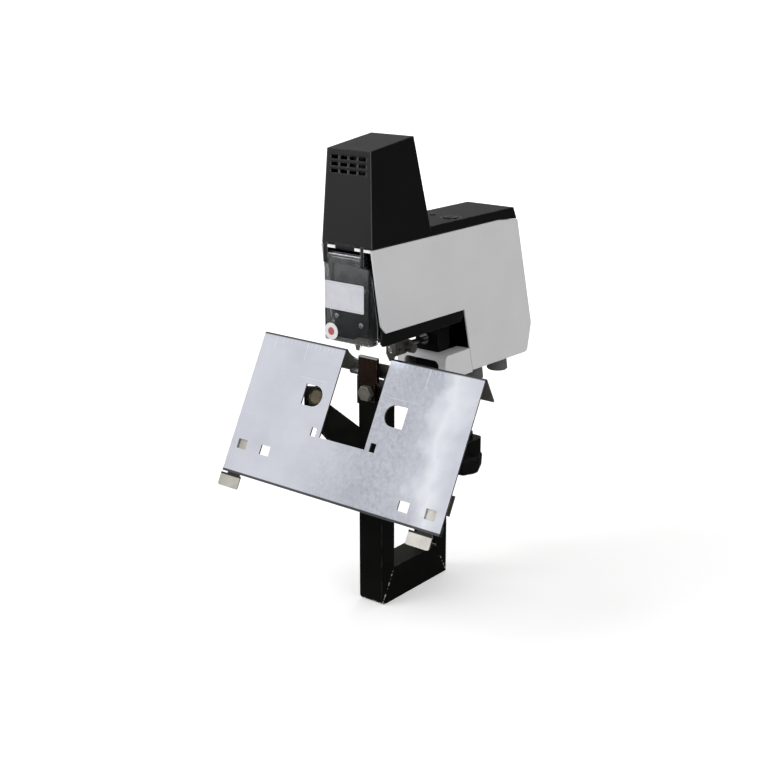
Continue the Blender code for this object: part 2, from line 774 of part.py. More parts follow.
def soften(shape, width, steps, chosen):
    """Bevel those sharp edges of a shape whose middle is chosen."""
    edges = []
    for edge in shape.edges:
        middle = (edge.verts[0].co + edge.verts[1].co) / 2
        if chosen(middle) and edge.calc_face_angle() > SHARP_ANGLE:
            edges.append(edge)
    bmesh.ops.bevel(shape, geom=edges, offset=width, segments=steps, profile=0.5, affect="EDGES",
                    clamp_overlap=True)


def smooth(made, angle=radians(40)):
    made.data.shade_smooth()
    made.data.set_sharp_from_angle(angle=angle)


# Bodies

frame_body = carrier("staple_line", (0, 0, 0))
frame_body.location = (0, STAPLE_LINE_Y, STAPLE_LINE_Z)
table_body = carrier("table_pivot", (0, TABLE_PIVOT_Y, TABLE_PIVOT_Z), frame_body)
left_stop_body = carrier("left_stop_slide", (LEFT_STOP_X, 0, 0), table_body)
right_stop_body = carrier("right_stop_slide", (RIGHT_STOP_X, 0, 0), table_body)
pad_body = carrier("clamp_pad_slide", (0, CLAMP_Y, PAD_TOP_Z), frame_body)
knob_body = carrier("clamp_knob_axis", (0, CLAMP_Y, KNOB_TOP_Z), pad_body)
guard_body = carrier("guard_axis", (0, GUARD_PIN_Y, GUARD_PIN_Z), frame_body)
head_body = carrier("head_pivot", (0, HEAD_PIVOT_Y, HEAD_PIVOT_Z), frame_body)
driver_body = carrier("driver_slide", (0, BLADE_Y, BLADE_BOTTOM_Z), head_body)
pusher_body = carrier("pusher_slide", (0, BLADE_BACK_Y + STRIP_LENGTH, STAPLE_TOP_Z), head_body)
plunger_body = carrier("plunger_slide", (0, PLUNGER_Y, PLUNGER_BOTTOM_Z), frame_body)
gauge_body = carrier("gauge_slide", (GAUGE_ROD_X, FINGER_Y, GAUGE_ROD_Z), frame_body)
GAUGE_SCREW_Y = GAUGE_BLOCK_Y + GAUGE_BLOCK_LENGTH / 3
gauge_screw_body = carrier("gauge_screw_axis", (FINGER_RIGHT_X, GAUGE_SCREW_Y, GAUGE_ROD_Z), gauge_body)
dial_body = carrier("dial_axis", (DIAL_X, DIAL_Y, DECK_TOP_Z), frame_body)


# U frame

def corner_arc():
    """Rounded lower front corner of the frame, from the front face round to the underside."""
    centre = (COLUMN_FRONT_Y + FRAME_CORNER, FRAME_BOTTOM_Z + FRAME_CORNER)
    return arc(centre, FRAME_CORNER, pi, 1.5 * pi, 2 * CORNER_STEPS)


def front_column():
    lower = [(y, z + GAP) for y, z in corner_arc()[:CORNER_STEPS + 1]]
    outline = [(COLUMN_FRONT_Y, COLUMN_TOP_Z)] + lower
    outline += [(COLUMN_BACK_Y, BAR_TOP_Z + GAP), (COLUMN_BACK_Y, COLUMN_TOP_Z)]
    shape = bmesh.new()
    prism(shape, outline, -HALF_FRAME, HALF_FRAME)
    made = piece("front_column", shape, BLACK_PAINT, frame_body)
    hole = bmesh.new()
    start = (0, COLUMN_FRONT_Y - OVERRUN, BOLT_Z)
    rod(hole, BOLT_DIAMETER / 2 + GAP, start, (0, 1, 0), BOLT_REACH + OVERRUN + GAP)
    work(made, hole)


def bottom_bar():
    outline = corner_arc()[CORNER_STEPS:]
    outline += [(REAR_BACK_Y, FRAME_BOTTOM_Z), (REAR_FRONT_Y, BAR_TOP_Z), (COLUMN_BACK_Y, BAR_TOP_Z)]
    shape = bmesh.new()
    prism(shape, outline, -HALF_FRAME, HALF_FRAME)
    piece("bottom_bar", shape, BLACK_PAINT, frame_body)


def column_bolt_heights():
    upper = REAR_COLUMN_TOP_Z - COLUMN_BOLT_DOWN
    return [upper, upper - COLUMN_BOLT_SPACING]


def rear_column():
    outline = [(REAR_FRONT_Y, BAR_TOP_Z + GAP), (REAR_BACK_Y, FRAME_BOTTOM_Z + GAP)]
    outline += [(REAR_BACK_Y, REAR_COLUMN_TOP_Z), (REAR_FRONT_Y, REAR_COLUMN_TOP_Z)]
    shape = bmesh.new()
    prism(shape, outline, -HALF_FRAME, HALF_FRAME)
    made = piece("rear_column", shape, BLACK_PAINT, frame_body)
    holes = bmesh.new()
    for y, z in column_bolt_places():
        start = (-HALF_FRAME - OVERRUN, y, z)
        rod(holes, CROSS_BOLT_RADIUS + GAP, start, (1, 0, 0), FRAME_WIDTH + 2 * OVERRUN)
    work(made, holes)


# Anvil

def anvil():
    bottom = ANVIL_TOP_Z - ANVIL_HEIGHT
    half = ANVIL_WIDTH / 2
    tongue = TONGUE_WIDTH / 2
    outline = [(-half, ANVIL_TOP_Z), (-half, bottom), (-tongue, bottom)]
    outline += [(-tongue, bottom - TONGUE_HEIGHT), (tongue, bottom - TONGUE_HEIGHT)]
    outline += [(tongue, bottom), (half, bottom), (half, ANVIL_TOP_Z)]
    shape = bmesh.new()
    prism(shape, outline, ANVIL_FRONT_Y, ANVIL_BACK_Y, FACING_Y)
    made = piece("anvil", shape, DARK_STEEL, frame_body)
    cuts = bmesh.new()
    middle_y = (ANVIL_FRONT_Y + ANVIL_BACK_Y) / 2
    for side in (-1, 1):
        left, right = span(side * GROOVE_SPACING / 2, side * STAPLE_HALF)
        block(cuts, (left, middle_y - GROOVE_WIDTH / 2, ANVIL_TOP_Z - GROOVE_DEPTH),
              (right, middle_y + GROOVE_WIDTH / 2, ANVIL_TOP_Z + OVERRUN))
    start = (0, ANVIL_FRONT_Y - OVERRUN, BOLT_Z)
    rod(cuts, BOLT_DIAMETER / 2 + GAP, start, (0, 1, 0), ANVIL_THICKNESS + 2 * OVERRUN)
    work(made, cuts)


def anvil_bolt():
    across = BOLT_HEAD_FLATS / 2 / cos(pi / 6)
    head = [(0, 0), (across - BOLT_CHAMFER, 0), (across, BOLT_CHAMFER), (across, BOLT_HEAD_HEIGHT),
            (0, BOLT_HEAD_HEIGHT)]
    start_y = ANVIL_FRONT_Y - GAP - BOLT_HEAD_HEIGHT
    shape = bmesh.new()
    turned(shape, head, (0, start_y, BOLT_Z), (0, 1, 0), 6)
    made = piece("anvil_bolt", shape, BRIGHT_STEEL, frame_body)
    shank = bmesh.new()
    middle = start_y + BOLT_HEAD_HEIGHT / 2
    rod(shank, BOLT_DIAMETER / 2, (0, middle, BOLT_Z), (0, 1, 0), COLUMN_FRONT_Y + BOLT_REACH - middle)
    work(made, shank, "UNION")
    smooth(made)


# Table

def table_profile():
    """Cross section of the bent sheet: outside down the rear, inside back up."""
    apex = (0, RIDGE_APEX_Z)
    front_end = (DOWN_FRONT.y * FRONT_LENGTH, RIDGE_APEX_Z + DOWN_FRONT.z * FRONT_LENGTH)
    rear_end = (DOWN_REAR.y * REAR_LENGTH, RIDGE_APEX_Z + DOWN_REAR.z * REAR_LENGTH)
    middle = strip([front_end, apex, rear_end], 2 * TABLE_SHEET)
    outline = [front_end, apex, rear_end] + middle[3:]
    return rounded(outline, {1: RIDGE_BEND, 4: GAP})


def table_openings():
    """Everything cut through the front plate, as one tool."""
    cuts = bmesh.new()
    low = -OVERRUN
    high = TABLE_SHEET + OVERRUN
    half = NOTCH_WIDTH / 2
    prism(cuts, rectangle(-half, half, -OVERRUN, NOTCH_LENGTH), low, high, ON_FRONT_PLATE)
    for side in (-1, 1):
        near = side * D_HOLE_X
        far = side * (D_HOLE_X + D_HOLE_WIDTH)
        bottom = D_HOLE_DOWN + D_HOLE_HEIGHT
        hole = [(near, D_HOLE_DOWN), (far, D_HOLE_DOWN), (far, bottom), (near, bottom)]
        round_end = D_HOLE_ROUND_share * D_HOLE_HEIGHT
        hole = rounded(hole, {0: round_end, 3: round_end})
        prism(cuts, hole, low, high, ON_FRONT_PLATE)
        slot = span(side * SLOT_X, side * (SLOT_X + SLOT_WIDTH))
        prism(cuts, rectangle(*slot, SLOT_DOWN, SLOT_DOWN + SLOT_HEIGHT), low, high, ON_FRONT_PLATE)
    for side, down in ((-1, LEFT_WINDOW_DOWN), (1, RIGHT_WINDOW_DOWN)):
        for step in (0, 1):
            middle = side * (HALF_TABLE - WINDOW_FROM_EDGE - step * WINDOW_SPACING)
            window = rectangle(middle - WINDOW_WIDTH / 2, middle + WINDOW_WIDTH / 2,
                               down, down + WINDOW_HEIGHT)
            prism(cuts, window, low, high, ON_FRONT_PLATE)
    return cuts


def table_plate():
    shape = bmesh.new()
    prism(shape, table_profile(), -TABLE_WIDTH / 2, TABLE_WIDTH / 2)
    made = piece("table_plate", shape, PLATED_STEEL, table_body)
    work(made, table_openings())
    half = NOTCH_WIDTH / 2
    outline = [(-half, -OVERRUN), (half, -OVERRUN), (half, REAR_NOTCH_LENGTH), (-half, REAR_NOTCH_LENGTH)]
    outline = rounded(outline, {2: REAR_NOTCH_CORNER, 3: REAR_NOTCH_CORNER})
    notch = bmesh.new()
    prism(notch, outline, -TABLE_SHEET - OVERRUN, TABLE_SHEET + OVERRUN, ON_REAR_FLANGE)
    work(made, notch)
    tubes, feet_of_tubes, bore = table_knuckles()
    work(made, feet_of_tubes, "UNION")
    work(made, tubes, "UNION")
    work(made, bore)


def table_knuckles():
    """Two tubes on feet under the rear flange, beside the hinge's ears."""
    pivot = ON_REAR_FLANGE.inverted() @ Vector((0, TABLE_PIVOT_Y, TABLE_PIVOT_Z))
    inner = HALF_FRAME + 2 * GAP + EAR_THICKNESS
    outer = NOTCH_WIDTH / 2
    tubes = bmesh.new()
    for side in (-1, 1):
        start = (side * inner, TABLE_PIVOT_Y, TABLE_PIVOT_Z)
        rod(tubes, KNUCKLE_RADIUS, start, (side, 0, 0), outer - inner, SMALL_SIDES)
    feet_of_tubes = bmesh.new()
    for side in (-1, 1):
        near, far = span(side * inner, side * outer)
        foot = rectangle(near, far, pivot.y - KNUCKLE_FOOT, pivot.y + KNUCKLE_FOOT)
        prism(feet_of_tubes, foot, TABLE_SHEET / 2, pivot.z, ON_REAR_FLANGE)
    bore = bmesh.new()
    start = (-outer - OVERRUN, TABLE_PIVOT_Y, TABLE_PIVOT_Z)
    rod(bore, HINGE_ROD_RADIUS + GAP, start, (1, 0, 0), 2 * (outer + OVERRUN), SMALL_SIDES)
    return tubes, feet_of_tubes, bore


def table_hinge():
    """Two ears beside the column, welded on the rod that the table turns on."""
    front = COLUMN_FRONT_Y + EAR_SETBACK
    bottom = TABLE_PIVOT_Z - EAR_HEIGHT
    shoulder = COLUMN_TOP_Z - EAR_SHOULDER_DROP
    top = arc((TABLE_PIVOT_Y, TABLE_PIVOT_Z), EAR_RADIUS, radians(-110), radians(200), 3 * CORNER_STEPS)
    outline = [(front, bottom), (front + EAR_DEPTH, bottom), (front + EAR_DEPTH, shoulder)]
    outline += [(front + EAR_NECK, shoulder)] + top
    outline += [(front, TABLE_PIVOT_Z - EAR_RADIUS)]
    shape = bmesh.new()
    inner = HALF_FRAME + GAP
    prism(shape, outline, inner, inner + EAR_THICKNESS)
    prism(shape, outline, -inner - EAR_THICKNESS, -inner)
    made = piece("table_hinge", shape, BLACK_PAINT, frame_body)
    bar = bmesh.new()
    half = NOTCH_WIDTH / 2 + GAP
    rod(bar, HINGE_ROD_RADIUS, (-half, TABLE_PIVOT_Y, TABLE_PIVOT_Z), (1, 0, 0), 2 * half, SMALL_SIDES)
    work(made, bar, "UNION")
    smooth(made)


# Paper stops

STOP_FRONT = TABLE_SHEET + GAP
STOP_BACK = STOP_FRONT + STOP_SHEET
TAB_TOP = FRONT_LENGTH + TAB_CLEARANCE
TAB_BOTTOM = FRONT_LENGTH + TAB_DROP


def stop_rail():
    near = STOP_FRONT
    behind = STOP_BACK + GAP
    back = behind + RAIL_SHEET
    end = TABLE_WIDTH / 2 - RAIL_INSET
    foot = end - RAIL_FOOT
    outline = [(-end, near), (-foot, near), (-foot, behind), (foot, behind), (foot, near), (end, near)]
    outline += [(end, back), (-end, back)]
    shape = bmesh.new()
    prism(shape, outline, FRONT_LENGTH - RAIL_HEIGHT, FRONT_LENGTH, ACROSS_PLATE)
    piece("stop_rail", shape, BLACK_PAINT, table_body)


def left_stop():
    body_left = LEFT_STOP_X - STOP_BODY_WIDTH / 2
    body_right = LEFT_STOP_X + STOP_BODY_WIDTH / 2
    tab_left = LEFT_TAB_X - TAB_WIDTH / 2
    tab_right = LEFT_TAB_X + TAB_WIDTH / 2
    top = LEFT_WINDOW_DOWN - STOP_BODY_ABOVE_WINDOW
    outline = [(body_left, top), (body_right, top), (body_right, TAB_TOP), (tab_right, TAB_TOP)]
    outline += [(tab_right, TAB_BOTTOM), (tab_left, TAB_BOTTOM), (tab_left, TAB_TOP), (body_left, TAB_TOP)]
    shape = bmesh.new()
    prism(shape, rounded(outline, {4: TAB_CORNER, 5: TAB_CORNER}), STOP_FRONT, STOP_BACK, ON_FRONT_PLATE)
    piece("left_stop", shape, NICKEL, left_stop_body)


def right_stop():
    body_left = RIGHT_STOP_X - STOP_BODY_WIDTH / 2
    body_right = RIGHT_STOP_X + STOP_BODY_WIDTH / 2
    tab_left = RIGHT_TAB_X - TAB_WIDTH / 2
    tab_right = RIGHT_TAB_X + TAB_WIDTH / 2
    top = RIGHT_WINDOW_DOWN - STOP_BODY_ABOVE_WINDOW
    wing_top = top - WING_ABOVE_BODY
    wing_right = body_right + WING_WIDTH
    outline = [(body_left, top), (body_right, top), (body_right, wing_top), (wing_right, wing_top)]
    outline += [(wing_right, wing_top + WING_HEIGHT), (body_right, wing_top + WING_HEIGHT)]
    outline += [(body_right, TAB_TOP), (tab_right, TAB_TOP), (tab_right, TAB_BOTTOM)]
    outline += [(tab_left, TAB_BOTTOM), (tab_left, TAB_TOP), (body_left, TAB_TOP)]
    shape = bmesh.new()
    prism(shape, rounded(outline, {8: TAB_CORNER, 9: TAB_CORNER}), STOP_FRONT, STOP_BACK, ON_FRONT_PLATE)
    piece("right_stop", shape, NICKEL, right_stop_body)


# Support arm

def behind_plate_y(height):
    """Y of the front plate's inner side at this height, less the gap."""
    outside = -(RIDGE_APEX_Z - height) / tan(FRONT_SLOPE)
    return outside + (TABLE_SHEET + GAP) / sin(FRONT_SLOPE)


SUPPORT_END_Y = behind_plate_y(SUPPORT_TOP_Z)
SUPPORT_ROOT_X = -(HALF_FRAME + GAP + SUPPORT_SHEET / 2)
SUPPORT_ROOT_Y = COLUMN_BACK_Y - SUPPORT_ROOT_INSET


def support_arm():
    path = [(SUPPORT_ROOT_X, SUPPORT_ROOT_Y), (SUPPORT_ROOT_X, SUPPORT_BEND_Y)]
    path.append((SUPPORT_END_X, SUPPORT_END_Y))
    shape = bmesh.new()
    prism(shape, strip(path, SUPPORT_SHEET), SUPPORT_TOP_Z - SUPPORT_DROP, SUPPORT_TOP_Z, FACING_Z)
    made = piece("support_arm", shape, BLACK_PAINT, frame_body)
    side_view = shared(SUPPORT_OUTLINE_shares, SUPPORT_END_Y, SUPPORT_ROOT_Y - SUPPORT_END_Y + OVERRUN,
                       SUPPORT_TOP_Z, -SUPPORT_DROP)
    tool = bmesh.new()
    prism(tool, side_view, SUPPORT_END_X - OVERRUN, SUPPORT_ROOT_X + SUPPORT_SHEET)
    work(made, tool, "INTERSECT")


def arm_dome_nut():
    root = Vector((SUPPORT_ROOT_X, SUPPORT_BEND_Y, 0))
    end = Vector((SUPPORT_END_X, SUPPORT_END_Y, 0))
    along = (end - root).normalized()
    outwards = Vector((-along.y, along.x, 0))
    seat = root + (end - root) * DOME_NUT_ALONG_share + outwards * (SUPPORT_SHEET / 2 + GAP)
    seat.z = SUPPORT_TOP_Z - DOME_NUT_BELOW_TOP
    across = DOME_NUT_FLATS / 2 / cos(pi / 6)
    shape = bmesh.new()
    turned(shape, [(0, 0), (across, 0), (across, DOME_NUT_HEIGHT), (0, DOME_NUT_HEIGHT)], seat, outwards, 6)
    made = piece("arm_dome_nut", shape, DARK_STEEL, frame_body)
    radius = DOME_NUT_FLATS / 2
    dome = [(0, DOME_NUT_HEIGHT / 2), (radius, DOME_NUT_HEIGHT / 2)]
    for step in range(CORNER_STEPS + 1):
        angle = pi / 2 * step / CORNER_STEPS
        dome.append((radius * cos(angle), DOME_NUT_HEIGHT + DOME_HEIGHT * sin(angle)))
    dome[-1] = (0, dome[-1][1])
    cap = bmesh.new()
    turned(cap, dome, seat, outwards)
    work(made, cap, "UNION")
    smooth(made)


# Desk clamp

def clamp_arm():
    half = CLAMP_ARM_WIDTH / 2
    near = REAR_BACK_Y + GAP
    far = CLAMP_Y + CLAMP_ARM_END
    outline = rounded(rectangle(-half, half, near, far), {2: CLAMP_ARM_CORNER, 3: CLAMP_ARM_CORNER})
    shape = bmesh.new()
    prism(shape, outline, CLAMP_ARM_TOP_Z - CLAMP_ARM_HEIGHT, CLAMP_ARM_TOP_Z, FACING_Z)
    made = piece("clamp_arm", shape, BLACK_PAINT, frame_body)
    boss = bmesh.new()
    middle = CLAMP_ARM_TOP_Z - CLAMP_ARM_HEIGHT / 2
    rod(boss, CLAMP_BOSS_RADIUS, (0, CLAMP_Y, middle), (0, 0, 1), CLAMP_ARM_HEIGHT / 2 + CLAMP_BOSS_HEIGHT)
    work(made, boss, "UNION")
    hole = bmesh.new()
    start = CLAMP_ARM_TOP_Z - CLAMP_ARM_HEIGHT - OVERRUN
    length = CLAMP_ARM_HEIGHT + CLAMP_BOSS_HEIGHT + 2 * OVERRUN
    rod(hole, CLAMP_SCREW_RADIUS + GAP, (0, CLAMP_Y, start), (0, 0, 1), length)
    work(made, hole)


def clamp_screw():
    bottom = KNOB_TOP_Z + GAP
    tip = PAD_BOTTOM_Z + CLAMP_TIP_DEPTH
    shoulder = PAD_BOTTOM_Z - GAP
    profile = [(0, 0), (CLAMP_SCREW_RADIUS, 0), (CLAMP_SCREW_RADIUS, shoulder - bottom)]
    profile += [(CLAMP_TIP_RADIUS, shoulder - bottom), (CLAMP_TIP_RADIUS, tip - bottom), (0, tip - bottom)]
    shape = bmesh.new()
    turned(shape, profile, (0, CLAMP_Y, bottom))
    smooth(piece("clamp_screw", shape, BRIGHT_STEEL, knob_body))


def clamp_pad():
    bore = CLAMP_TIP_RADIUS + GAP
    depth = CLAMP_TIP_DEPTH + GAP
    chamfer = CLAMP_PAD_CHAMFER
    profile = [(bore, 0), (CLAMP_PAD_RADIUS - chamfer, 0), (CLAMP_PAD_RADIUS, chamfer)]
    profile += [(CLAMP_PAD_RADIUS, CLAMP_PAD_HEIGHT), (0, CLAMP_PAD_HEIGHT), (0, depth), (bore, depth)]
    shape = bmesh.new()
    turned(shape, profile, (0, CLAMP_Y, PAD_BOTTOM_Z))
    smooth(piece("clamp_pad", shape, BRIGHT_STEEL, pad_body))


def clamp_knob():
    """Lobed grip, narrowing towards its rounded underside."""
    shape = bmesh.new()
    rings = []
    for drop, width in KNOB_OUTLINE_shares:
        ring = []
        for index in range(KNOB_POINTS):
            angle = 2 * pi * index / KNOB_POINTS
            radius = width * (KNOB_RADIUS - KNOB_LOBE_DEPTH * (1 - cos(KNOB_LOBES * angle)))
            place = (radius * cos(angle), CLAMP_Y + radius * sin(angle), KNOB_TOP_Z - drop * KNOB_HEIGHT)
            ring.append(shape.verts.new(place))
        rings.append(ring)
    for upper, lower in zip(rings, rings[1:]):
        join_rings(shape, upper, lower)
    shape.faces.new(rings[0])
    shape.faces.new(rings[-1])
    smooth(piece("clamp_knob", shape, BLACK_PLASTIC, knob_body))


# Chassis

def cover_outline():
    return shared(COVER_OUTLINE_shares, COVER_FRONT_Y, COVER_LENGTH, COVER_BOTTOM_Z, COVER_HEIGHT)


def chassis_outline():
    return shared(CHASSIS_OUTLINE_shares, COVER_FRONT_Y, COVER_LENGTH, COVER_BOTTOM_Z, COVER_HEIGHT)


def column_bolt_places():
    middle_y = (REAR_FRONT_Y + REAR_BACK_Y) / 2
    return [(middle_y, height) for height in column_bolt_heights()]


def chassis_plate(name, side):
    shape = bmesh.new()
    prism(shape, chassis_outline(), side * CHASSIS_INNER_X, side * CHASSIS_OUTER_X)
    made = piece(name, shape, BLACK_PAINT, frame_body)
    bosses = bmesh.new()
    bores = bmesh.new()
    start_x = side * (HALF_FRAME + GAP)
    length = CHASSIS_INNER_X - HALF_FRAME - GAP
    for y, z in column_bolt_places():
        rod(bosses, COLUMN_BOSS_RADIUS, (start_x, y, z), (side, 0, 0), length + CHASSIS_SHEET / 2)
        start = (start_x - side * OVERRUN, y, z)
        rod(bores, CROSS_BOLT_RADIUS + GAP, start, (side, 0, 0), length + OVERRUN, SMALL_SIDES)
    work(made, bosses, "UNION")
    holes = bmesh.new()
    start_x = side * (CHASSIS_INNER_X - OVERRUN)
    length = CHASSIS_SHEET + 2 * OVERRUN
    for y, z in column_bolt_places() + [(SPRING_Y, SPRING_BOLT_Z)]:
        rod(holes, CROSS_BOLT_NECK + GAP, (start_x, y, z), (side, 0, 0), length, SMALL_SIDES)
    start = (start_x, HEAD_PIVOT_Y, HEAD_PIVOT_Z)
    rod(holes, PIVOT_PIN_NECK + GAP, start, (side, 0, 0), length, SMALL_SIDES)
    work(made, bores)
    work(made, holes)


def shouldered_bar(shape, place, radius, neck):
    """Round bar between the chassis plates, with a neck in each plate's hole."""
    shoulder = CHASSIS_INNER_X - GAP
    end = CHASSIS_OUTER_X
    profile = [(0, -end), (neck, -end), (neck, -shoulder), (radius, -shoulder), (radius, shoulder)]
    profile += [(neck, shoulder), (neck, end), (0, end)]
    turned(shape, profile, (0, place[0], place[1]), (1, 0, 0), SMALL_SIDES)


def cross_bolt(name, place):
    shape = bmesh.new()
    shouldered_bar(shape, place, CROSS_BOLT_RADIUS, CROSS_BOLT_NECK)
    smooth(piece(name, shape, BRIGHT_STEEL, frame_body))


def top_plate():
    bottom = CHASSIS_TOP_Z + GAP
    shape = bmesh.new()
    block(shape, (-CHASSIS_OUTER_X, TOP_PLATE_FRONT_Y, bottom),
          (CHASSIS_OUTER_X, TOP_PLATE_FRONT_Y + TOP_PLATE_LENGTH, bottom + TOP_PLATE_THICKNESS))
    made = piece("top_plate", shape, DARK_STEEL, frame_body)
    holes = bmesh.new()
    length = TOP_PLATE_THICKNESS + 2 * OVERRUN
    rod(holes, PUSH_ROD_RADIUS + 3 * GAP, (0, PLUNGER_Y, bottom - OVERRUN), (0, 0, 1), length)
    start = (DIAL_X, DIAL_Y, bottom - OVERRUN)
    rod(holes, DIAL_SHAFT_RADIUS + GAP, start, (0, 0, 1), length, SMALL_SIDES)
    work(made, holes)


# Casing

def side_cover(name, side):
    outline = cover_outline()
    outline = rounded(outline, {8: COVER_NOSE_ROUND, 3: COVER_REAR_ROUND, 4: COVER_REAR_ROUND})
    shape = bmesh.new()
    prism(shape, outline, side * (COVER_HALF - COVER_SHEET), side * COVER_HALF)
    soften(shape, COVER_EDGE, 1, lambda middle: abs(middle.x) > COVER_HALF - COVER_SHEET / 2)
    piece(name, shape, WHITE_COVER, frame_body)


def leaning_prism(shape, outline, wall, lean):
    """Extrude a side view to both flanks, which lean inwards as they rise."""
    prism(shape, outline, -1, 1)
    for vertex in shape.verts:
        vertex.co.x *= TOWER_FOOT_HALF - wall - lean * (vertex.co.z - TOP_COVER_Z)


def tower_solid(wall):
    """The tower's outside, or its hollow where a wall is given."""
    foot_back = TOWER_FRONT_Y + TOWER_FOOT_DEPTH
    top_front = TOWER_FRONT_Y + TOWER_LEAN_FRONT
    outline = [(TOWER_FRONT_Y, TOP_COVER_Z), (foot_back, TOP_COVER_Z)]
    outline += [(top_front + TOWER_TOP_DEPTH, TOP_COVER_Z + TOWER_REAR_HEIGHT)]
    outline += [(top_front, TOP_COVER_Z + TOWER_FRONT_HEIGHT)]
    if wall:
        outline = inset(outline, wall)
        floor = TOP_COVER_Z - DECK_HEIGHT
        outline = [(outline[0][0], floor), (outline[1][0], floor)] + outline[2:]
    shape = bmesh.new()
    leaning_prism(shape, outline, wall, (TOWER_FOOT_HALF - TOWER_TOP_HALF) / TOWER_REAR_HEIGHT)
    return shape


def deck_solid(wall):
    """The deck's outside, or its hollow where a wall is given."""
    front = TOWER_FRONT_Y + TOWER_FOOT_DEPTH / 2
    dip_start = COVER_FRONT_Y + COVER_OUTLINE_shares[1][0] * COVER_LENGTH
    outline = [(front, TOP_COVER_Z), (dip_start, TOP_COVER_Z), (DECK_FOOT_END_Y, TOP_COVER_Z - DECK_DIP)]
    outline += [(DECK_END_Y, DECK_TOP_Z), (front, DECK_TOP_Z)]
    if wall:
        outline = inset(outline, wall)
        floor = TOP_COVER_Z - DECK_HEIGHT
        outline = [(front, floor), (outline[2][0], floor)] + outline[3:]
    shape = bmesh.new()
    leaning_prism(shape, outline, wall, (TOWER_FOOT_HALF - DECK_TOP_HALF) / DECK_HEIGHT)
    return shape


def under_tower():
    """The lugs and the tab: their ends along X, their back, and how far they hang down."""
    lugs = [(ends, LUG_BACK_Y, LUG_DROP) for ends in LUG_SPANS]
    return lugs + [(TAB_SPAN, TAB_BACK_Y, TAB_BELOW)]


def vent_slots():
    """Rows of slots through the upper front of the tower."""
    cuts = bmesh.new()
    top = TOP_COVER_Z + TOWER_FRONT_HEIGHT - VENT_BELOW_TOP
    back = TOWER_FRONT_Y + TOWER_LEAN_FRONT + TOP_WALL + OVERRUN
    for row in range(VENT_ROWS):
        for column in range(VENT_COLUMNS):
            middle = (column - (VENT_COLUMNS - 1) / 2) * VENT_STEP_X
            high = top - row * VENT_STEP_Z
            slot = rectangle(middle - VENT_WIDTH / 2, middle + VENT_WIDTH / 2, high - VENT_HEIGHT, high)
            prism(cuts, slot, TOWER_FRONT_Y - OVERRUN, back, FACING_Y)
    return cuts


def top_cover():
    tower = tower_solid(0)
    soften(tower, TOWER_EDGE, TOWER_EDGE_STEPS, lambda middle: middle.z > DECK_TOP_Z)
    made = piece("top_cover", tower, BLACK_PLASTIC, frame_body)
    deck = deck_solid(0)
    soften(deck, TOWER_EDGE, TOWER_EDGE_STEPS, lambda middle: middle.z > DECK_TOP_Z - GAP)
    work(made, deck, "UNION")
    work(made, tower_solid(TOP_WALL))
    work(made, deck_solid(TOP_WALL))
    for (left, right), back, drop in under_tower():
        lug = bmesh.new()
        block(lug, (left, LUG_FRONT_Y, TOP_COVER_Z - drop), (right, back, TOP_COVER_Z + TOP_WALL / 2))
        work(made, lug, "UNION")
    work(made, vent_slots())
    holes = bmesh.new()
    start = (DIAL_X, DIAL_Y, DECK_TOP_Z - TOP_WALL - OVERRUN)
    rod(holes, DIAL_RADIUS + 2 * GAP, start, (0, 0, 1), TOP_WALL + 2 * OVERRUN)
    for left, right in LUG_SPANS:
        start = (left - OVERRUN, GUARD_PIN_Y, GUARD_PIN_Z)
        rod(holes, GUARD_PIN_RADIUS + GAP, start, (1, 0, 0), right - left + 2 * OVERRUN, SMALL_SIDES)
    work(made, holes)


def front_strip():
    top = TOP_COVER_Z - GAP
    shape = bmesh.new()
    block(shape, (-CHASSIS_OUTER_X, STRIP_FRONT_Y, top - STRIP_HEIGHT), (CHASSIS_OUTER_X, STRIP_BACK_Y, top))
    made = piece("front_strip", shape, WHITE_COVER, frame_body)
    cuts = bmesh.new()
    for (left, right), back, _ in under_tower():
        block(cuts, (left - GAP, STRIP_FRONT_Y - OVERRUN, top - STRIP_HEIGHT - OVERRUN),
              (right + GAP, back + GAP, top + OVERRUN))
    work(made, cuts)


def side_cover_front_y(height):
    """Y of the side cover's lower front edge at this height."""
    outline = cover_outline()
    (low_y, low_z), (high_y, high_z) = outline[5], outline[6]
    return low_y + (high_y - low_y) * (height - low_z) / (high_z - low_z)


BASE_TOP_Z = CHASSIS_BOTTOM_Z - GAP
BASE_BOTTOM_Z = BASE_TOP_Z - BASE_THICKNESS


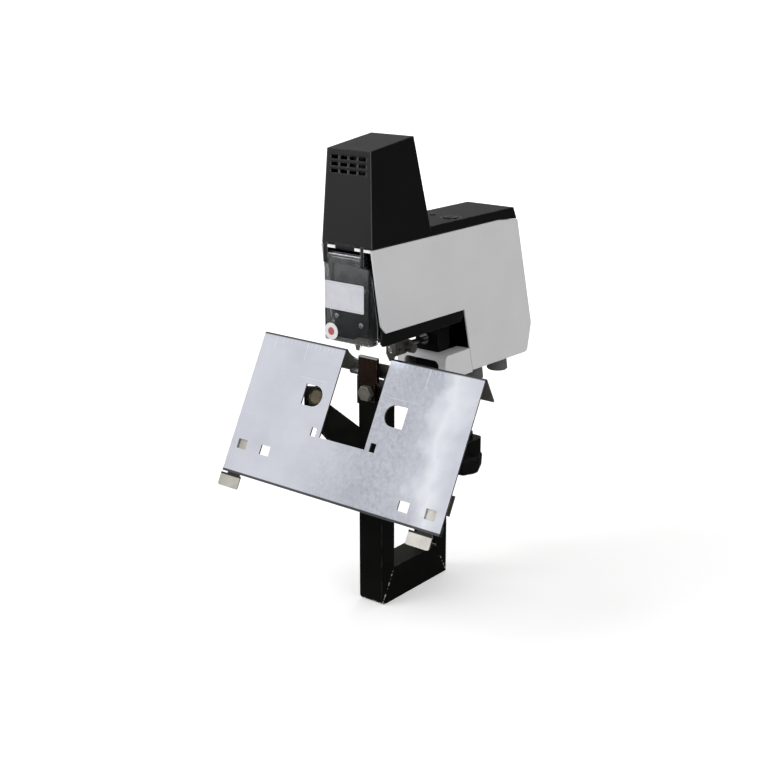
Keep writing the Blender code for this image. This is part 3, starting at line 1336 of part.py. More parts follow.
def lower_front_cover():
    bottom = BASE_BOTTOM_Z - LOWER_SKIRT
    step = 2 * GAP
    outline = [(LOWER_FRONT_Y, bottom), (side_cover_front_y(bottom) - step, bottom)]
    outline += [(side_cover_front_y(LOWER_TOP_Z) - step, LOWER_TOP_Z), (LOWER_FRONT_Y, LOWER_TOP_Z)]
    shape = bmesh.new()
    prism(shape, rounded(outline, {3: LOWER_CORNER}), -COVER_HALF, COVER_HALF)
    made = piece("lower_front_cover", shape, WHITE_COVER, frame_body)
    cuts = bmesh.new()
    inside_half = COVER_HALF - LOWER_WALL
    block(cuts, (-inside_half, LOWER_FRONT_Y + LOWER_WALL, bottom - OVERRUN),
          (inside_half, COVER_END_Y, LOWER_TOP_Z - LOWER_WALL))
    work(made, cuts)
    cuts = bmesh.new()
    opening = HALF_FRAME + GAP
    block(cuts, (-opening, REAR_FRONT_Y - GAP, LOWER_TOP_Z - LOWER_WALL - OVERRUN),
          (opening, COVER_END_Y, LOWER_TOP_Z + OVERRUN))
    slot = rectangle(-LOWER_SLOT_HALF, LOWER_SLOT_HALF, LOWER_SLOT_BOTTOM_Z, LOWER_SLOT_TOP_Z)
    corner = LOWER_SLOT_CORNER_share * (LOWER_SLOT_TOP_Z - LOWER_SLOT_BOTTOM_Z)
    slot = rounded(slot, dict.fromkeys(range(4), corner))
    prism(cuts, slot, LOWER_FRONT_Y - OVERRUN, LOWER_FRONT_Y + LOWER_WALL + OVERRUN, FACING_Y)
    work(made, cuts)


def base_plate():
    half = COVER_HALF - LOWER_WALL - GAP
    shape = bmesh.new()
    block(shape, (-half, LOWER_FRONT_Y + LOWER_WALL + GAP, BASE_BOTTOM_Z), (half, BASE_END_Y, BASE_TOP_Z))
    made = piece("base_plate", shape, BLACK_PAINT, frame_body)
    hole = bmesh.new()
    opening = HALF_FRAME + GAP
    block(hole, (-opening, REAR_FRONT_Y - GAP, BASE_BOTTOM_Z - OVERRUN),
          (opening, REAR_BACK_Y + GAP, BASE_TOP_Z + OVERRUN))
    work(made, hole)


def foot(name, x, y):
    height = BASE_BOTTOM_Z - GAP - DESK_Z
    profile = [(0, 0), (FOOT_RADIUS - FOOT_ROUND, 0), (FOOT_RADIUS, FOOT_ROUND), (FOOT_TOP_RADIUS, height)]
    profile.append((0, height))
    shape = bmesh.new()
    turned(shape, profile, (x, y, DESK_Z))
    smooth(piece(name, shape, RUBBER, frame_body))


# Rear panel and what it carries

def panel_path():
    """Middle of the rear panel's sheet, from its top to its bottom."""
    return inset(cover_outline(), PANEL_INSET)[2:5]


PANEL_TOP, PANEL_KNEE, PANEL_FOOT = panel_path()
DOWN_PANEL = Vector((0, PANEL_KNEE[0] - PANEL_TOP[0], PANEL_KNEE[1] - PANEL_TOP[1])).normalized()
ON_PANEL = facing((0, PANEL_TOP[0], PANEL_TOP[1]), (-1, 0, 0), DOWN_PANEL)
SKIN = PANEL_THICKNESS / 2


def rear_panel():
    shape = bmesh.new()
    prism(shape, strip(panel_path(), PANEL_THICKNESS), -CHASSIS_OUTER_X, CHASSIS_OUTER_X)
    made = piece("rear_panel", shape, WHITE_COVER, frame_body)
    cuts = bmesh.new()
    reach = SKIN + OVERRUN
    rocker_half = ROCKER_RADIUS + GAP
    hole = rectangle(-ROCKER_HALF_WIDTH - GAP, ROCKER_HALF_WIDTH + GAP,
                     SWITCH_DOWN - rocker_half, SWITCH_DOWN + rocker_half)
    prism(cuts, hole, -reach, reach, ON_PANEL)
    half = INLET_WIDTH / 2 + GAP
    tall = INLET_HEIGHT / 2 + GAP
    prism(cuts, rectangle(-half, half, INLET_DOWN - tall, INLET_DOWN + tall), -reach, reach, ON_PANEL)
    work(made, cuts)


def mains_inlet():
    half = INLET_WIDTH / 2
    tall = INLET_HEIGHT / 2
    outside = -SKIN - GAP
    shape = bmesh.new()
    flange = rectangle(-half - INLET_FLANGE, half + INLET_FLANGE,
                       INLET_DOWN - tall - INLET_FLANGE, INLET_DOWN + tall + INLET_FLANGE)
    prism(shape, flange, outside - INLET_FLANGE_THICKNESS, outside, ON_PANEL)
    made = piece("mains_inlet", shape, BLACK_PLASTIC, frame_body)
    body = bmesh.new()
    outline = rectangle(-half, half, INLET_DOWN - tall, INLET_DOWN + tall)
    prism(body, outline, outside - INLET_FLANGE_THICKNESS / 2, INLET_DEPTH, ON_PANEL)
    work(made, body, "UNION")
    hollow = bmesh.new()
    mouth = outside - INLET_FLANGE_THICKNESS - OVERRUN
    prism(hollow, inset(outline, INLET_WALL), mouth, INLET_DEPTH - INLET_WALL, ON_PANEL)
    work(made, hollow)
    pins = bmesh.new()
    for step, rise in ((-1, INLET_PIN_RISE), (0, -INLET_PIN_RISE), (1, INLET_PIN_RISE)):
        x = step * INLET_PIN_SPACING
        middle = INLET_DOWN + rise
        pin = rectangle(x - INLET_PIN_WIDTH / 2, x + INLET_PIN_WIDTH / 2,
                        middle - INLET_PIN_HEIGHT / 2, middle + INLET_PIN_HEIGHT / 2)
        prism(pins, pin, SKIN, INLET_DEPTH - INLET_WALL / 2, ON_PANEL)
    work(made, pins, "UNION")


def rocker():
    outline = shared(ROCKER_OUTLINE_shares, SWITCH_DOWN, ROCKER_RADIUS, ROCKER_DEPTH, ROCKER_RADIUS)
    shape = bmesh.new()
    prism(shape, outline, -ROCKER_HALF_WIDTH, ROCKER_HALF_WIDTH, ON_PANEL @ FACING_X)
    piece("rocker", shape, BLACK_PLASTIC, rocker_body)


rocker_body = carrier("rocker_axis", ON_PANEL @ Vector((0, SWITCH_DOWN, ROCKER_DEPTH)), frame_body)


def force_dial():
    bottom = CHASSIS_TOP_Z + GAP
    top = DECK_TOP_Z + DIAL_PROUD
    shape = bmesh.new()
    profile = [(0, 0), (DIAL_SHAFT_RADIUS, 0), (DIAL_SHAFT_RADIUS, top - DIAL_HEIGHT - bottom)]
    profile += [(DIAL_RADIUS, top - DIAL_HEIGHT - bottom), (DIAL_RADIUS, top - bottom), (0, top - bottom)]
    turned(shape, profile, (DIAL_X, DIAL_Y, bottom))
    made = piece("force_dial", shape, BLACK_PLASTIC, dial_body)
    slot = bmesh.new()
    half = DIAL_SLOT_WIDTH / 2
    block(slot, (DIAL_X - half, DIAL_Y - DIAL_RADIUS - OVERRUN, top - DIAL_SLOT_DEPTH),
          (DIAL_X + half, DIAL_Y + DIAL_RADIUS / 2, top + OVERRUN))
    work(made, slot)
    smooth(made)


def control_board():
    face = -CHASSIS_INNER_X + BOARD_STANDOFF + BOARD_THICKNESS
    back = face - BOARD_THICKNESS
    shape = bmesh.new()
    block(shape, (back, BOARD_Y, BOARD_Z), (face, BOARD_Y + BOARD_LENGTH, BOARD_Z + BOARD_HEIGHT))
    made = piece("control_board", shape, BOARD_GREEN, frame_body)
    posts = bmesh.new()
    for y in (BOARD_Y + STANDOFF_INSET, BOARD_Y + BOARD_LENGTH - STANDOFF_INSET):
        for z in (BOARD_Z + STANDOFF_INSET, BOARD_Z + BOARD_HEIGHT - STANDOFF_INSET):
            length = BOARD_STANDOFF - GAP + BOARD_THICKNESS / 2
            rod(posts, STANDOFF_RADIUS, (-CHASSIS_INNER_X + GAP, y, z), (1, 0, 0), length, SMALL_SIDES)
    work(made, posts, "UNION")
    low, middle, high = [BOARD_Z + share * BOARD_HEIGHT for share in PARTS_ABOVE_BOARD_shares]
    centre_y = BOARD_Y + BOARD_LENGTH / 2
    width, depth_y, height = TRANSFORMER_SIZE
    inner = back + BOARD_THICKNESS / 2
    parts = bmesh.new()
    block(parts, (inner, centre_y - depth_y / 2, low), (face + width, centre_y + depth_y / 2, low + height))
    work(made, parts, "UNION")
    parts = bmesh.new()
    rod(parts, CAPACITOR_RADIUS, (inner, centre_y, high + CAPACITOR_RADIUS), (1, 0, 0), CAPACITOR_LENGTH)
    work(made, parts, "UNION")
    parts = bmesh.new()
    width, depth_y, height = RELAY_SIZE
    block(parts, (inner, centre_y - depth_y / 2, middle),
          (face + width, centre_y + depth_y / 2, middle + height))
    work(made, parts, "UNION")


# Guard

def guard_plan(wall, depth_y):
    """Plan of the guard: a front wall with a side wall at each end."""
    outer = [(-GUARD_HALF, GUARD_FRONT_Y + depth_y), (-GUARD_HALF, GUARD_FRONT_Y)]
    outer += [(GUARD_HALF, GUARD_FRONT_Y), (GUARD_HALF, GUARD_FRONT_Y + depth_y)]
    outer = rounded(outer, {1: GUARD_CORNER, 2: GUARD_CORNER})
    inside = GUARD_HALF - wall
    inner = [(inside, GUARD_FRONT_Y + depth_y), (inside, GUARD_FRONT_Y + wall)]
    inner += [(-inside, GUARD_FRONT_Y + wall), (-inside, GUARD_FRONT_Y + depth_y)]
    inner_corner = GUARD_CORNER - wall + GUARD_WALL / 4
    return outer + rounded(inner, {1: inner_corner, 2: inner_corner})


def guard():
    shape = bmesh.new()
    prism(shape, guard_plan(GUARD_WALL, GUARD_SIDE_DEPTH), GUARD_BOTTOM_Z, GUARD_SIDE_TOP_Z, FACING_Z)
    made = piece("guard", shape, CLEAR_PLASTIC, guard_body)
    rim = bmesh.new()
    prism(rim, guard_plan(GUARD_WALL + GUARD_RIM_EXTRA, GUARD_SIDE_DEPTH), GUARD_BOTTOM_Z,
          GUARD_BOTTOM_Z + GUARD_RIM_HEIGHT, FACING_Z)
    work(made, rim, "UNION")
    behind = bmesh.new()
    back = GUARD_FRONT_Y + GUARD_SIDE_DEPTH
    outline = [(back, GUARD_SIDE_KNEE_Z), (back + OVERRUN, GUARD_SIDE_KNEE_Z)]
    outline += [(back + OVERRUN, GUARD_SIDE_TOP_Z + OVERRUN)]
    outline += [(GUARD_FRONT_Y + GUARD_SIDE_TOP_DEPTH, GUARD_SIDE_TOP_Z + OVERRUN)]
    outline += [(GUARD_FRONT_Y + GUARD_WALL, GUARD_SIDE_TOP_Z)]
    prism(behind, outline, -GUARD_HALF - OVERRUN, GUARD_HALF + OVERRUN)
    work(made, behind)
    left = LUG_SPANS[0][1] + GAP
    right = LUG_SPANS[1][0] - GAP
    hanger = bmesh.new()
    block(hanger, (left, GUARD_FRONT_Y, GUARD_SIDE_TOP_Z - GUARD_WALL),
          (right, GUARD_FRONT_Y + GUARD_WALL, GUARD_PIN_Z))
    work(made, hanger, "UNION")
    barrel = bmesh.new()
    rod(barrel, GUARD_BARREL_RADIUS, (left, GUARD_PIN_Y, GUARD_PIN_Z), (1, 0, 0), right - left, SMALL_SIDES)
    work(made, barrel, "UNION")
    tongue = bmesh.new()
    wide = GUARD_TONGUE_WIDTH / 2
    narrow = wide * TONGUE_TAPER_share
    root = GUARD_BOTTOM_Z + GUARD_WALL
    tip = GUARD_BOTTOM_Z - GUARD_TONGUE_DROP
    outline = [(TONGUE_X - wide, root), (TONGUE_X - narrow, tip)]
    outline += [(TONGUE_X + narrow, tip), (TONGUE_X + wide, root)]
    prism(tongue, outline, GUARD_FRONT_Y, GUARD_FRONT_Y + GUARD_WALL, FACING_Y)
    work(made, tongue, "UNION")
    bore = bmesh.new()
    start = (left - OVERRUN, GUARD_PIN_Y, GUARD_PIN_Z)
    rod(bore, GUARD_PIN_RADIUS + GAP, start, (1, 0, 0), right - left + 2 * OVERRUN, SMALL_SIDES)
    work(made, bore)


def guard_pin():
    start = LUG_SPANS[0][0]
    length = LUG_SPANS[1][1] - start
    shape = bmesh.new()
    rod(shape, GUARD_PIN_RADIUS, (start, GUARD_PIN_Y, GUARD_PIN_Z), (1, 0, 0), length, SMALL_SIDES)
    smooth(piece("guard_pin", shape, BRIGHT_STEEL, frame_body))


# Head

def head_arm(name, side):
    boss = arc((HEAD_PIVOT_Y, HEAD_PIVOT_Z), HEAD_ARM_BOSS, radians(-105), radians(80), 2 * CORNER_STEPS)
    outline = [(HEAD_ARM_FRONT_Y, HEAD_ARM_LOW_Z), (HEAD_ARM_KNEE_Y, HEAD_ARM_LOW_Z)]
    outline += [(HEAD_ARM_NECK_Y, HEAD_ARM_NECK_LOW_Z)] + boss
    outline += [(HEAD_ARM_NECK_Y, HEAD_ARM_NECK_TOP_Z), (HEAD_ARM_KNEE_Y, HEAD_ARM_TOP_Z)]
    outline += [(HEAD_ARM_FRONT_Y, HEAD_ARM_TOP_Z)]
    outer = HEAD_ARM_INNER_X + HEAD_ARM_SHEET
    shape = bmesh.new()
    prism(shape, outline, side * HEAD_ARM_INNER_X, side * outer)
    made = piece(name, shape, DARK_STEEL, head_body)
    hole = bmesh.new()
    start = (side * (HEAD_ARM_INNER_X - OVERRUN), HEAD_PIVOT_Y, HEAD_PIVOT_Z)
    rod(hole, PIVOT_PIN_RADIUS + GAP, start, (side, 0, 0), HEAD_ARM_SHEET + 2 * OVERRUN)
    work(made, hole)


def pivot_pin():
    shape = bmesh.new()
    shouldered_bar(shape, (HEAD_PIVOT_Y, HEAD_PIVOT_Z), PIVOT_PIN_RADIUS, PIVOT_PIN_NECK)
    smooth(piece("pivot_pin", shape, BRIGHT_STEEL, frame_body))


def head_bridge():
    guide_back = BLADE_BACK_Y + GUIDE_DEPTH
    top = BRIDGE_Z + BRIDGE_THICKNESS
    outline = [(BLADE_BACK_Y, BRIDGE_Z), (BRIDGE_END_Y, BRIDGE_Z), (BRIDGE_END_Y, top), (guide_back, top)]
    outline += [(guide_back, GUIDE_TOP_Z), (BLADE_BACK_Y, GUIDE_TOP_Z)]
    shape = bmesh.new()
    prism(shape, outline, -BLOCK_NECK_HALF, BLOCK_NECK_HALF)
    made = piece("head_bridge", shape, DARK_STEEL, head_body)
    hole = bmesh.new()
    start = (0, SPRING_Y, BRIDGE_Z - OVERRUN)
    rod(hole, SPRING_HOLE_RADIUS, start, (0, 0, 1), BRIDGE_THICKNESS + 2 * OVERRUN, SMALL_SIDES)
    work(made, hole)


def head_block():
    """Channel that the crosshead slides in, open at the back towards the blade."""
    shoulder = HEAD_ARM_FRONT_Y - GAP
    outline = [(-BLOCK_HALF, BLOCK_FRONT_Y), (BLOCK_HALF, BLOCK_FRONT_Y), (BLOCK_HALF, shoulder)]
    outline += [(BLOCK_NECK_HALF, shoulder), (BLOCK_NECK_HALF, BLADE_FRONT_Y)]
    outline += [(-BLOCK_NECK_HALF, BLADE_FRONT_Y), (-BLOCK_NECK_HALF, shoulder), (-BLOCK_HALF, shoulder)]
    shape = bmesh.new()
    prism(shape, outline, BLOCK_BOTTOM_Z, BLOCK_TOP_Z, FACING_Z)
    made = piece("head_block", shape, BLACK_PAINT, head_body)
    channel = bmesh.new()
    block(channel, (-CAVITY_HALF, CAVITY_FRONT_Y, BLOCK_BOTTOM_Z + CAVITY_FLOOR),
          (CAVITY_HALF, BLADE_FRONT_Y + OVERRUN, BLOCK_TOP_Z + OVERRUN))
    work(made, channel)


FRONT_PLATE_BACK_Y = BLOCK_FRONT_Y - GAP
FRONT_PLATE_FRONT_Y = FRONT_PLATE_BACK_Y - FRONT_PLATE_THICKNESS


def head_front_plate():
    height = FRONT_PLATE_TOP_Z - FRONT_PLATE_BOTTOM_Z
    outline = shared(FRONT_PLATE_shares, 0, BLOCK_HALF, FRONT_PLATE_BOTTOM_Z, height)
    shape = bmesh.new()
    prism(shape, outline, FRONT_PLATE_FRONT_Y, FRONT_PLATE_BACK_Y, FACING_Y)
    piece("head_front_plate", shape, BLACK_PLASTIC, head_body)


def nose_piece():
    shape = bmesh.new()
    top = BLOCK_BOTTOM_Z - GAP
    shoe = NOSE_BOTTOM_Z + NOSE_SHOE
    outline = [(NOSE_FRONT_Y, NOSE_BOTTOM_Z), (NOSE_BACK_Y, NOSE_BOTTOM_Z), (NOSE_BACK_Y, shoe)]
    outline += [(BLADE_FRONT_Y, shoe), (BLADE_FRONT_Y, top), (NOSE_FRONT_Y, top)]
    prism(shape, outline, -NOSE_HALF, NOSE_HALF)
    made = piece("nose_piece", shape, DARK_STEEL, head_body)
    slot = bmesh.new()
    block(slot, (-NOSE_SLOT_HALF, BLADE_FRONT_Y, NOSE_BOTTOM_Z - OVERRUN),
          (NOSE_SLOT_HALF, BLADE_BACK_Y, shoe + OVERRUN))
    work(made, slot)


def magazine():
    """Folded channel with the rail that the staples ride on."""
    outer = MAGAZINE_HALF
    inner = MAGAZINE_HALF - MAGAZINE_WALL
    floor = MAGAZINE_FLOOR_Z + MAGAZINE_WALL
    rail = MAGAZINE_RAIL_HALF
    outline = [(-outer, MAGAZINE_FLOOR_Z), (outer, MAGAZINE_FLOOR_Z), (outer, MAGAZINE_TOP_Z)]
    outline += [(inner, MAGAZINE_TOP_Z), (inner, floor), (rail, floor), (rail, MAGAZINE_RAIL_TOP_Z)]
    outline += [(-rail, MAGAZINE_RAIL_TOP_Z), (-rail, floor), (-inner, floor), (-inner, MAGAZINE_TOP_Z)]
    outline += [(-outer, MAGAZINE_TOP_Z)]
    shape = bmesh.new()
    prism(shape, outline, BLADE_BACK_Y, MAGAZINE_END_Y, FACING_Y)
    piece("magazine", shape, BRIGHT_STEEL, head_body)


def saddle_outline(rise):
    """Inverted U of a staple, or of the pusher where rise makes its top thicker."""
    inner = STAPLE_HALF - STAPLE_WIRE
    leg_end = STAPLE_TOP_Z - STAPLE_LEG
    under = STAPLE_TOP_Z - STAPLE_WIRE
    return [(-STAPLE_HALF, leg_end), (-inner, leg_end), (-inner, under), (inner, under), (inner, leg_end),
            (STAPLE_HALF, leg_end), (STAPLE_HALF, STAPLE_TOP_Z + rise), (-STAPLE_HALF, STAPLE_TOP_Z + rise)]


def staple_strip():
    shape = bmesh.new()
    prism(shape, saddle_outline(0), BLADE_BACK_Y, BLADE_BACK_Y + STRIP_LENGTH, FACING_Y)
    piece("staple_strip", shape, BRIGHT_STEEL, head_body)


def pusher():
    start = BLADE_BACK_Y + STRIP_LENGTH + GAP
    shape = bmesh.new()
    prism(shape, saddle_outline(PUSHER_RISE), start, start + PUSHER_LENGTH, FACING_Y)
    piece("pusher", shape, BLACK_PLASTIC, pusher_body)


# Driver

def crosshead():
    half = CAVITY_HALF - CROSSHEAD_CLEARANCE
    front = CAVITY_FRONT_Y + CROSSHEAD_CLEARANCE
    shape = bmesh.new()
    block(shape, (-half, front, CROSSHEAD_BOTTOM_Z), (half, BLADE_FRONT_Y, CROSSHEAD_TOP_Z))
    made = piece("crosshead", shape, DARK_STEEL, driver_body)
    middle = (CROSSHEAD_BOTTOM_Z + CROSSHEAD_TOP_Z) / 2
    for side in (-1, 1):
        low_x, high_x = span(side * half, side * (half - CHEEK_THICKNESS))
        cheek = bmesh.new()
        block(cheek, (low_x, BLADE_FRONT_Y - CHEEK_DEPTH, middle), (high_x, BLADE_FRONT_Y, CHEEK_TOP_Z))
        work(made, cheek, "UNION")
    hole = bmesh.new()
    start = (-half - OVERRUN, PLUNGER_Y, PIN_Z)
    rod(hole, PIN_NECK_RADIUS + GAP, start, (1, 0, 0), 2 * (half + OVERRUN), SMALL_SIDES)
    work(made, hole)


def crosshead_pin():
    """Pin between the crosshead's cheeks, that the plunger pushes on."""
    end = CAVITY_HALF - CROSSHEAD_CLEARANCE
    body = end - CHEEK_THICKNESS - GAP
    profile = [(0, -end), (PIN_NECK_RADIUS, -end), (PIN_NECK_RADIUS, -body), (PIN_RADIUS, -body)]
    profile += [(PIN_RADIUS, body), (PIN_NECK_RADIUS, body), (PIN_NECK_RADIUS, end), (0, end)]
    shape = bmesh.new()
    turned(shape, profile, (0, PLUNGER_Y, PIN_Z), (1, 0, 0))
    smooth(piece("crosshead_pin", shape, BRIGHT_STEEL, driver_body))


def driver_blade():
    half = BLADE_WIDTH / 2
    shape = bmesh.new()
    block(shape, (-half, BLADE_Y - BLADE_THICKNESS / 2, BLADE_BOTTOM_Z),
          (half, BLADE_Y + BLADE_THICKNESS / 2, BLADE_BOTTOM_Z + BLADE_HEIGHT))
    piece("driver_blade", shape, BRIGHT_STEEL, driver_body)


# Solenoid

YOKE_BOTTOM_Z = CHASSIS_TOP_Z + 2 * GAP + TOP_PLATE_THICKNESS


def solenoid_yoke():
    top = YOKE_BOTTOM_Z + YOKE_HEIGHT
    shape = bmesh.new()
    outline = rectangle(-YOKE_HALF_X, YOKE_HALF_X, YOKE_BOTTOM_Z, top)
    prism(shape, outline, PLUNGER_Y - YOKE_HALF_Y, PLUNGER_Y + YOKE_HALF_Y, FACING_Y)
    made = piece("solenoid_yoke", shape, DARK_STEEL, frame_body)
    window = bmesh.new()
    prism(window, inset(outline, YOKE_PLATE), PLUNGER_Y - YOKE_HALF_Y - OVERRUN,
          PLUNGER_Y + YOKE_HALF_Y + OVERRUN, FACING_Y)
    work(made, window)
    holes = bmesh.new()
    length = YOKE_PLATE + 2 * OVERRUN
    rod(holes, PUSH_ROD_RADIUS + 2 * GAP, (0, PLUNGER_Y, YOKE_BOTTOM_Z - OVERRUN), (0, 0, 1), length)
    rod(holes, PLUNGER_RADIUS + GAP, (0, PLUNGER_Y, top - YOKE_PLATE - OVERRUN), (0, 0, 1), length)
    work(made, holes)


def solenoid_coil():
    length = YOKE_HEIGHT - 2 * YOKE_PLATE - 2 * GAP
    bore = PLUNGER_RADIUS + GAP
    flange = COIL_FLANGE_RADIUS
    profile = [(bore, 0), (flange, 0), (flange, COIL_FLANGE), (COIL_RADIUS, COIL_FLANGE)]
    profile += [(COIL_RADIUS, length - COIL_FLANGE), (flange, length - COIL_FLANGE)]
    profile += [(flange, length), (bore, length)]
    shape = bmesh.new()
    turned(shape, profile, (0, PLUNGER_Y, YOKE_BOTTOM_Z + YOKE_PLATE + GAP))
    smooth(piece("solenoid_coil", shape, COPPER_COIL, frame_body))


def plunger():
    bottom = PIN_Z + PIN_RADIUS + GAP
    pad = FOOT_PAD_THICKNESS
    waist = PLUNGER_BOTTOM_Z - bottom
    end = PLUNGER_TOP_Z - bottom
    profile = [(0, 0), (FOOT_PAD_RADIUS, 0), (FOOT_PAD_RADIUS, pad), (PUSH_ROD_RADIUS, pad)]
    profile += [(PUSH_ROD_RADIUS, waist), (PLUNGER_RADIUS, waist), (PLUNGER_RADIUS, end), (0, end)]
    shape = bmesh.new()
    turned(shape, profile, (0, PLUNGER_Y, bottom))
    smooth(piece("plunger", shape, BRIGHT_STEEL, plunger_body))


def spring_points():
    """Tail through the bridge, the curls, and the hook over the cross bolt."""
    centre = Vector((0, SPRING_Y, 0))
    shoulder = SPRING_FOOT_Z - SPRING_COIL_RADIUS / 2
    points = [centre + Vector((0, 0, SPRING_TAIL_Z)), centre + Vector((0, 0, shoulder))]
    total = SPRING_CURLS * SPRING_CURL_POINTS
    for step in range(total + 1):
        angle = 2 * pi * step / SPRING_CURL_POINTS
        height = SPRING_FOOT_Z + (SPRING_HEAD_Z - SPRING_FOOT_Z) * step / total
        along = SPRING_COIL_RADIUS * cos(angle)
        across = SPRING_COIL_RADIUS * sin(angle)
        points.append(centre + Vector((along, across, height)))
    hook = CROSS_BOLT_RADIUS + SPRING_WIRE / 2 + GAP
    for step in range(SPRING_HOOK_POINTS + 1):
        angle = -pi / 2 + SPRING_HOOK_TURN * step / SPRING_HOOK_POINTS
        points.append(Vector((0, SPRING_Y + hook * cos(angle), SPRING_BOLT_Z + hook * sin(angle))))
    return points


def return_spring():
    curve = bpy.data.curves.new("return_spring", "CURVE")
    curve.dimensions = "3D"
    curve.bevel_depth = SPRING_WIRE / 2
    curve.bevel_resolution = 1
    curve.use_fill_caps = True
    points = spring_points()
    line = curve.splines.new("POLY")
    line.points.add(len(points) - 1)
    for point, place in zip(line.points, points):
        point.co = (*place, 1)
    curve.materials.append(finish("return_spring_finish", *BRIGHT_STEEL))
    made = bpy.data.objects.new("return_spring", curve)
    made.parent = frame_body
    bpy.context.collection.objects.link(made)
    rise = (SPRING_HEAD_Z - SPRING_FOOT_Z) / SPRING_CURLS
    print("least gap between the return spring's curls, mm:", round(1000 * (rise - SPRING_WIRE), 2))


# Back gauge

def back_gauge():
    """Finger that the fold stops against; the rod passes through it as it slides back."""
    width = FINGER_RIGHT_X - FINGER_LEFT_X
    outline = [(FINGER_LEFT_X, FINGER_TOP_Z), (FINGER_RIGHT_X, FINGER_TOP_Z)]
    outline += shared(FINGER_POINT_shares, FINGER_LEFT_X, width, FINGER_TOP_Z, -FINGER_HEIGHT)
    shape = bmesh.new()
    prism(shape, outline, FINGER_Y, FINGER_Y + FINGER_SHEET, FACING_Y)
    made = piece("back_gauge", shape, NICKEL, gauge_body)
    wing = bmesh.new()
    bottom = FINGER_TOP_Z - GAUGE_WING_HEIGHT
    end = FINGER_Y + GAUGE_WING_LENGTH
    chamfer = GAUGE_WING_HEIGHT / 2
    outline = [(FINGER_Y, bottom), (end - chamfer, bottom), (end, bottom + chamfer), (end, FINGER_TOP_Z)]
    outline += [(FINGER_Y, FINGER_TOP_Z)]
    prism(wing, outline, FINGER_RIGHT_X - FINGER_SHEET, FINGER_RIGHT_X)
    work(made, wing, "UNION")
    holes = bmesh.new()
    start_x = FINGER_RIGHT_X - FINGER_SHEET - OVERRUN
    length = FINGER_SHEET + 2 * OVERRUN
    middle = (FINGER_Y + GAUGE_BLOCK_Y) / 2
    rod(holes, GAUGE_WING_HOLE, (start_x, middle, GAUGE_ROD_Z), (1, 0, 0), length, SMALL_SIDES)
    start = (start_x, GAUGE_SCREW_Y, GAUGE_ROD_Z)
    rod(holes, GAUGE_SCREW_RADIUS + GAP, start, (1, 0, 0), length, SMALL_SIDES)
    start = (GAUGE_ROD_X, FINGER_Y - OVERRUN, GAUGE_ROD_Z)
    rod(holes, GAUGE_ROD_RADIUS + 2 * GAP, start, (0, 1, 0), FINGER_SHEET + 2 * OVERRUN)
    work(made, holes)


GAUGE_BLOCK_RIGHT_X = FINGER_RIGHT_X - FINGER_SHEET - GAP


def gauge_block():
    shape = bmesh.new()
    block(shape, (GAUGE_BLOCK_LEFT_X, GAUGE_BLOCK_Y, GAUGE_BLOCK_TOP_Z - GAUGE_BLOCK_HEIGHT),
          (GAUGE_BLOCK_RIGHT_X, GAUGE_BLOCK_Y + GAUGE_BLOCK_LENGTH, GAUGE_BLOCK_TOP_Z))
    made = piece("gauge_block", shape, BRIGHT_STEEL, gauge_body)
    bore = bmesh.new()
    start = (GAUGE_ROD_X, GAUGE_BLOCK_Y - OVERRUN, GAUGE_ROD_Z)
    rod(bore, GAUGE_ROD_RADIUS + GAP, start, (0, 1, 0), GAUGE_BLOCK_LENGTH + 2 * OVERRUN)
    work(made, bore)
    hole = bmesh.new()
    start = (GAUGE_ROD_X + GAUGE_ROD_RADIUS - GAP, GAUGE_SCREW_Y, GAUGE_ROD_Z)
    reach = GAUGE_BLOCK_RIGHT_X + OVERRUN - start[0]
    rod(hole, GAUGE_SCREW_RADIUS + GAP, start, (1, 0, 0), reach, SMALL_SIDES)
    work(made, hole)


def gauge_rod():
    end = REAR_FRONT_Y - GAP
    length = end - GAUGE_ROD_FRONT_Y
    collar = length - GAUGE_COLLAR_LENGTH
    profile = [(0, 0), (GAUGE_ROD_RADIUS, 0), (GAUGE_ROD_RADIUS, collar), (GAUGE_COLLAR_RADIUS, collar)]
    profile += [(GAUGE_COLLAR_RADIUS, length), (0, length)]
    shape = bmesh.new()
    turned(shape, profile, (GAUGE_ROD_X, GAUGE_ROD_FRONT_Y, GAUGE_ROD_Z), (0, 1, 0))
    smooth(piece("gauge_rod", shape, BRIGHT_STEEL, frame_body))


def gauge_screw():
    tip = GAUGE_ROD_X + GAUGE_ROD_RADIUS + GAP
    shoulder = FINGER_RIGHT_X + GAP - tip
    end = shoulder + GAUGE_SCREW_LENGTH
    profile = [(0, 0), (GAUGE_SCREW_RADIUS, 0), (GAUGE_SCREW_RADIUS, shoulder), (GAUGE_SCREW_HEAD, shoulder)]
    profile += [(GAUGE_SCREW_HEAD, end), (0, end)]
    shape = bmesh.new()
    turned(shape, profile, (tip, GAUGE_SCREW_Y, GAUGE_ROD_Z), (1, 0, 0))
    smooth(piece("gauge_screw", shape, BRIGHT_STEEL, gauge_screw_body))


# Assembly, in the order that it is put together

front_column()
bottom_bar()
rear_column()
clamp_arm()
clamp_screw()
clamp_pad()
clamp_knob()

anvil()
anvil_bolt()
table_hinge()
table_plate()
stop_rail()
left_stop()
right_stop()
support_arm()
arm_dome_nut()

for plate_name, plate_side in (("chassis_left", -1), ("chassis_right", 1)):
    chassis_plate(plate_name, plate_side)
for bolt_name, bolt_place in zip(("column_bolt_upper", "column_bolt_lower"), column_bolt_places()):
    cross_bolt(bolt_name, bolt_place)
cross_bolt("spring_hanger", (SPRING_Y, SPRING_BOLT_Z))
top_plate()

for arm_name, arm_side in (("head_arm_left", -1), ("head_arm_right", 1)):
    head_arm(arm_name, arm_side)
pivot_pin()
head_bridge()
head_block()
head_front_plate()
nose_piece()
magazine()
staple_strip()
pusher()
crosshead()
crosshead_pin()
driver_blade()
return_spring()

